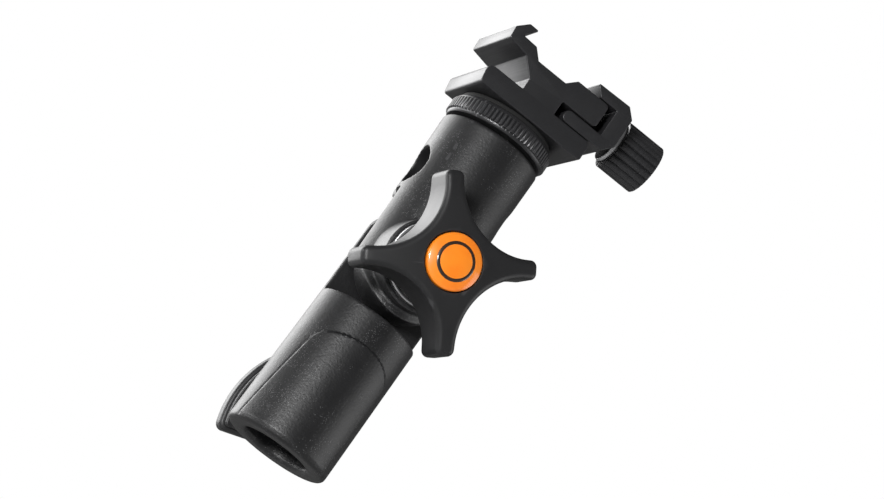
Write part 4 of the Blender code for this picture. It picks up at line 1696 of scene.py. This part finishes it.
@dataclass
class LockRing:
    """The knurled ring at the top of the head, and the rubber washer on it."""

    radius: float = 13.3
    heights: tuple[float, float] = (87.3, 91.9)
    chamfer: tuple[tuple[float, float], ...] = ((0.0, 1.1), (0.0, 0.75), (0.3, 0.48))
    grooves: int = 76
    depth: float = 0.42
    sharpness: int = 3
    rim: float = 0.7
    runout: float = 0.25
    hole: float = 3.475
    washer: Triple = (12.0, 92.1, 93.2)

    def radius_at(self, angle: float) -> float:
        """The radius over the knurling or in one of its grooves."""
        return self.radius - self.depth * (0.5 - 0.5 * cos(self.grooves * angle)) ** self.sharpness

    def build(self, layout: Layout) -> tuple[bpy.types.Object, bpy.types.Object]:
        """Builds the ring and the washer.

        Args:
            layout: the frame's layout.

        Returns:
            The ring and the washer, leaned with the head.
        """
        low, high = self.heights
        levels = [(low + rise, shrink) for rise, shrink in self.chamfer]
        levels += [(low + self.rim, self.depth), (low + self.rim + self.runout, 0.0)]
        levels += [(low + high - height, shrink) for height, shrink in reversed(levels)]
        knurled = grooved(self.radius_at, levels, self.grooves * 10)
        ring = to_object("shoe_lock_ring_knurled", place(knurled, layout.lean))
        carve(ring, "DIFFERENCE", [place(bar(self.hole, low - 2, high + 2, 64), layout.lean)])
        radius, foot, top = self.washer
        section = [(self.hole, foot, 0.1), (radius, foot, 0.3), (radius, top, 0.3), (self.hole, top, 0.1)]
        return ring, to_object("shoe_rubber_ring", place(holed(section), layout.lean))


@dataclass
class FlashShoe:
    """The extruded shoe base with its fixed hook and finger, and the sliding jaw."""

    half_depth: float = 12.0
    edge: float = 0.2
    base: tuple[Triple, ...] = (
        (-13.6, 93.5, 0.8),
        (15.95, 93.5, 0.5),
        (15.95, 98.3, 1.4),
        (5.0, 98.3, 0.3),
        (5.0, 102.0, 0.3),
        (14.75, 102.0, 1.0),
        (14.75, 108.2, 1.0),
        (5.4, 108.2, 0.3),
        (3.1, 105.9, 0.3),
        (-5.0, 105.9, 0.3),
        (-7.3, 108.3, 0.5),
        (-11.4, 108.5, 0.3),
        (-8.75, 111.55, 0.3),
        (-11.5, 111.6, 0.6),
        (-14.0, 109.1, 0.6),
        (-13.8, 106.1, 0.6),
        (-8.25, 105.1, 0.6),
        (-4.5, 101.2, 0.5),
        (-4.4, 98.4, 0.3),
        (-14.4, 98.4, 1.7),
    )
    jaw: tuple[Triple, ...] = (
        (9.6, 111.1, 0.25),
        (11.85, 108.5, 0.25),
        (16.8, 108.5, 0.3),
        (16.8, 101.55, 0.3),
        (6.8, 101.55, 1.3),
        (6.8, 98.6, 1.3),
        (18.75, 98.6, 0.6),
        (21.1, 101.2, 0.6),
        (21.1, 109.0, 0.6),
        (18.8, 111.3, 0.5),
    )
    stud_hole: tuple[float, float] = (3.475, 101.2)
    screw_hole: float = 1.8
    base_hole_x: tuple[float, float] = (5.7, 18.0)
    jaw_hole_x: tuple[float, float] = (15.0, 24.0)

    def build(self, layout: Layout) -> tuple[bpy.types.Object, bpy.types.Object]:
        """Builds the two extrusions.

        Args:
            layout: the frame's layout.

        Returns:
            The base and the jaw, leaned with the head.
        """
        across = layout.lean @ along(Axis.RIGHT, z=layout.clamp_z)
        pieces = []
        for name, corners in (("shoe_extrusion", self.base), ("shoe_jaw_extrusion", self.jaw)):
            outline = fillet(corners, 5, closed=True)
            bar_stock = plate(outline, -self.half_depth, self.half_depth, self.edge, 3)
            pieces.append(to_object(name, place(bar_stock, layout.lean, EXTRUDED)))
        base, jaw = pieces
        stud_radius, stud_top = self.stud_hole
        stud = bar(stud_radius, self.base[0][1] - PAST, stud_top, 64)
        carve(base, "DIFFERENCE", [place(stud, layout.lean)])
        for piece, ends in ((base, self.base_hole_x), (jaw, self.jaw_hole_x)):
            carve(piece, "DIFFERENCE", [place(bar(self.screw_hole, *ends, 48), across)])
        return base, jaw


@dataclass
class ClampScrew:
    """The ridged clamp knob and its screw, with the bright shoulder against the jaw."""

    knob: tuple[float, int, float, float, float, float] = (6.45, 20, 0.6, 23.75, 34.0, 0.5)
    shoulder: Triple = (5.2, 22.6, 24.2)
    screw: tuple[float, float, float, float] = (1.5, 0.5, 7.3, 22.9)
    stem: tuple[float, float] = (1.5, 31.0)
    clearance: float = 0.3

    def build(self, layout: Layout) -> tuple[bpy.types.Object, bpy.types.Object]:
        """Builds the knob and the screw.

        Args:
            layout: the frame's layout.

        Returns:
            The knob and the screw, leaned with the head.
        """
        across = layout.lean @ along(Axis.RIGHT, z=layout.clamp_z)
        knob = to_object("clamp_grip", place(ridged(*self.knob), across))
        radius, low, high = self.shoulder
        seat = bar(radius + self.clearance, WIDE, high + self.clearance, 96)
        hole = bar(self.stem[0] + self.clearance, WIDE, self.stem[1] + self.clearance, 48)
        carve(knob, "DIFFERENCE", [place(seat, across), place(hole, across)])
        profile = [
            (0, low - 0.1, 0),
            (self.stem[0], low - 0.1, 0),
            (radius, low, 0.25),
            (radius, high, 0.15),
            (self.stem[0], high, 0.1),
            (*self.stem, 0.2),
            (0, self.stem[1], 0),
        ]
        screw = to_object("clamp_screw_thread", place(turned(profile, 96), across))
        carve(screw, "UNION", [place(threaded(*self.screw, 32), across)])
        return knob, screw


# ---------------------------------------------------------------- studio


@dataclass(frozen=True)
class SoftBox:
    """One soft lamp, by its way from the target along the camera's own axes."""

    name: str
    way: Triple
    distance: float
    side: tuple[float, float]
    watts: float


@dataclass(frozen=True)
class Studio:
    """A plain pale floor, soft lamps and the camera, placed round the leaned head."""

    right: Triple = (0.762, -0.347, 0.547)
    up: Triple = (-0.601, -0.067, 0.796)
    target: Triple = (4.3, 0.0, 60.3)
    distance: float = 0.75
    lens: float = 134.4
    boxes: tuple[SoftBox, ...] = (
        SoftBox("rim", (-0.7, 0.5, -0.78), 0.8, (0.7, 0.7), 1.9),
        SoftBox("key", (-1.0, 0.4, 0.15), 0.8, (0.4, 0.4), 0.8),
        SoftBox("fill", (1.0, -0.62, 0.0), 0.9, (0.8, 0.6), 0.7),
        SoftBox("low", (-0.6, -0.75, 0.35), 0.9, (0.25, 0.25), 0.8),
        SoftBox("front", (-0.3, 0.3, 1.0), 1.1, (0.3, 0.3), 3.6),
    )
    spread: float = 75.0
    ambient: float = 0.14
    floor_z: float = -0.16
    floor_side: float = 4.0
    floor_tints: tuple[Triple, Triple] = ((0.86, 0.86, 0.86), (0.9, 0.9, 0.895))
    floor_glow: float = 0.5

    def axes(self, layout: Layout) -> Matrix:
        """Works out the camera's own axes.

        Args:
            layout: the frame's layout.

        Returns:
            Its right, up and back as columns.
        """
        right = Vector(self.right).normalized()
        up = Vector(self.up)
        up = (up - up.dot(right) * right).normalized()
        columns = Matrix((right, up, right.cross(up))).transposed()
        return layout.lean.to_3x3() @ columns

    def aim(self, layout: Layout) -> tuple[Matrix, Vector]:
        """Sets up the camera.

        Args:
            layout: the frame's layout.

        Returns:
            The camera's axes, and the point it looks at in metres.
        """
        axes, target = self.axes(layout), (layout.lean @ Vector(self.target)) * MM
        camera = bpy.data.objects.new("camera", bpy.data.cameras.new("camera"))
        bpy.context.scene.collection.objects.link(camera)
        camera.data.sensor_width = 36.0
        camera.data.lens = self.lens
        camera.data.clip_start = 0.01
        back = axes @ Vector((0, 0, 1))
        camera.matrix_world = Matrix.Translation(target + back * self.distance) @ axes.to_4x4()
        bpy.context.scene.camera = camera
        return axes, target

    def lamp(self, box: SoftBox, axes: Matrix, target: Vector) -> None:
        """Adds one soft box that faces the target.

        Args:
            box: the lamp.
            axes: the camera's axes.
            target: the point it faces, in metres.
        """
        at = target + (axes @ Vector(box.way)).normalized() * box.distance
        data = bpy.data.lights.new(box.name, "AREA")
        data.shape = "RECTANGLE"
        data.size, data.size_y = box.side
        data.energy = box.watts
        data.spread = radians(self.spread)
        lamp = bpy.data.objects.new(box.name, data)
        bpy.context.scene.collection.objects.link(lamp)
        turn = (at - target).to_track_quat("Z", "Y").to_matrix().to_4x4()
        lamp.matrix_world = Matrix.Translation(at) @ turn

    def light_all_round(self) -> None:
        """Sets the world: a weak light on the bracket, but white where the camera sees it."""
        world = bpy.data.worlds.new("studio")
        bpy.context.scene.world = world
        world.use_nodes = True
        graph = Graph(world.node_tree)
        background = world.node_tree.nodes["Background"]
        background.inputs["Color"].default_value = rgba((1.0, 1.0, 1.0))
        seen = graph.add("LightPath").outputs["Is Camera Ray"]
        strength = graph.blend(seen, self.ambient, 1.0)
        world.node_tree.links.new(strength, background.inputs["Strength"])

    def lay_floor(self) -> None:
        """Lays the pale floor, well below the bracket."""
        half = self.floor_side / 2
        bm = bmesh.new()
        bmesh.ops.create_grid(bm, x_segments=8, y_segments=8, size=half / MM)
        bmesh.ops.translate(bm, vec=(0, 0, self.floor_z / MM), verts=bm.verts)
        floor = to_object("floor", bm)
        look = Surface("pale_floor", {"Roughness": 0.9, "Specular IOR Level": 0.1})
        cloud = look.noise(look.point, 6.0, 2.0)
        darker, lighter = self.floor_tints
        look.colour(look.mix(cloud, rgba(darker), rgba(lighter)))
        seen = look.add("LightPath").outputs["Is Camera Ray"]
        look.shader.inputs["Emission Color"].default_value = rgba((1.0, 1.0, 1.0))
        glow = look.maths("MULTIPLY", seen, self.floor_glow)
        look.tree.links.new(glow, look.shader.inputs["Emission Strength"])
        floor.data.materials.append(look.material)

    def build(self, layout: Layout) -> None:
        """Sets up the camera, the lamps and the floor.

        Args:
            layout: the frame's layout.
        """
        axes, target = self.aim(layout)
        for box in self.boxes:
            self.lamp(box, axes, target)
        self.light_all_round()
        self.lay_floor()
        bpy.context.scene.view_settings.view_transform = "Standard"


# ---------------------------------------------------------------- assembly


def dress_pieces(bench: Bench, layout: Layout, looks: Finishes) -> None:
    """Builds every piece and rides it on its body.

    Args:
        bench: where the pieces are put together.
        layout: the frame's layout.
        looks: the materials.
    """
    bench.dress(StandSocket().build(layout), "stand_base", looks.casting, Slot.CASTING, "socket_body")
    bench.dress(Head().build(layout), "head", looks.casting, Slot.CASTING, "head_body")
    knob, cap, cap_ring = StarKnob().build(layout)
    bench.dress(knob, "tilt_knob", looks.plastic, Slot.PLASTIC, "tilt_knob")
    bench.dress(cap, "tilt_knob", looks.orange, Slot.ORANGE, "tilt_knob_cap")
    bench.dress(cap_ring, "tilt_knob", looks.cap_ring, Slot.ORANGE)
    washer, bolt = TiltStack().build(layout)
    bench.dress(washer, "tilt_clamp", looks.washer_steel, Slot.STEEL, "tilt_washer")
    bench.dress(bolt, "stand_base", looks.zinc, Slot.ZINC, "tilt_bolt")
    wing, wing_screw = StandLock().build(layout)
    bench.dress(wing, "stand_lock", looks.plastic, Slot.PLASTIC, "stand_lock_knob")
    bench.dress(wing_screw, "stand_lock", looks.zinc, Slot.ZINC, "stand_lock_screw")
    grip, grip_screw = UmbrellaLock().build(layout)
    bench.dress(grip, "umbrella_lock", looks.plastic, Slot.PLASTIC, "umbrella_lock_knob")
    bench.dress(grip_screw, "umbrella_lock", looks.zinc, Slot.ZINC, "umbrella_lock_screw")
    ring, rubber_ring = LockRing().build(layout)
    bench.dress(ring, "shoe_ring", looks.turned_black, Slot.ANODISED, "shoe_lock_ring")
    bench.dress(rubber_ring, "ring_slide", looks.rubber, Slot.RUBBER, "shoe_rubber_washer")
    base, jaw = FlashShoe().build(layout)
    bench.dress(base, "shoe", looks.extrusion, Slot.ANODISED, "shoe_base")
    bench.dress(jaw, "jaw", looks.extrusion, Slot.ANODISED, "shoe_jaw")
    clamp_grip, clamp_thread = ClampScrew().build(layout)
    bench.dress(clamp_grip, "clamp_screw", looks.turned_black, Slot.ANODISED, "clamp_knob")
    bench.dress(clamp_thread, "clamp_screw", looks.screw_steel, Slot.STEEL, "clamp_screw")


def carry_over_rest(bench: Bench, looks: Finishes) -> None:
    """Gives the CAD nodes that stay in view their materials.

    Args:
        bench: where the pieces are put together.
        looks: the materials.
    """
    carried = {
        "tilt_friction_disc": looks.fibre,
        "tilt_knob_bush": looks.washer_steel,
        "shoe_stud": looks.zinc,
        "stand_lock_pad": looks.brass,
        "umbrella_lock_pad": looks.brass,
        "clamp_retaining_clip": looks.screw_steel,
    }
    for node, look in carried.items():
        bench.carry_over(node, look)
    LOG.info("%d pieces built, %d carried over", len(bench.pieces), len(carried))


def main() -> None:
    """Builds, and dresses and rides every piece."""
    logging.basicConfig(level=logging.INFO, format="%(name)s: %(message)s")
    layout, bench = Layout.read(frame["joints"]), Bench()
    Studio().build(layout)
    Effects.build()
    looks = Finishes.mixed(layout)
    dress_pieces(bench, layout, looks)
    carry_over_rest(bench, looks)


if __name__ == "__main__":
    main()
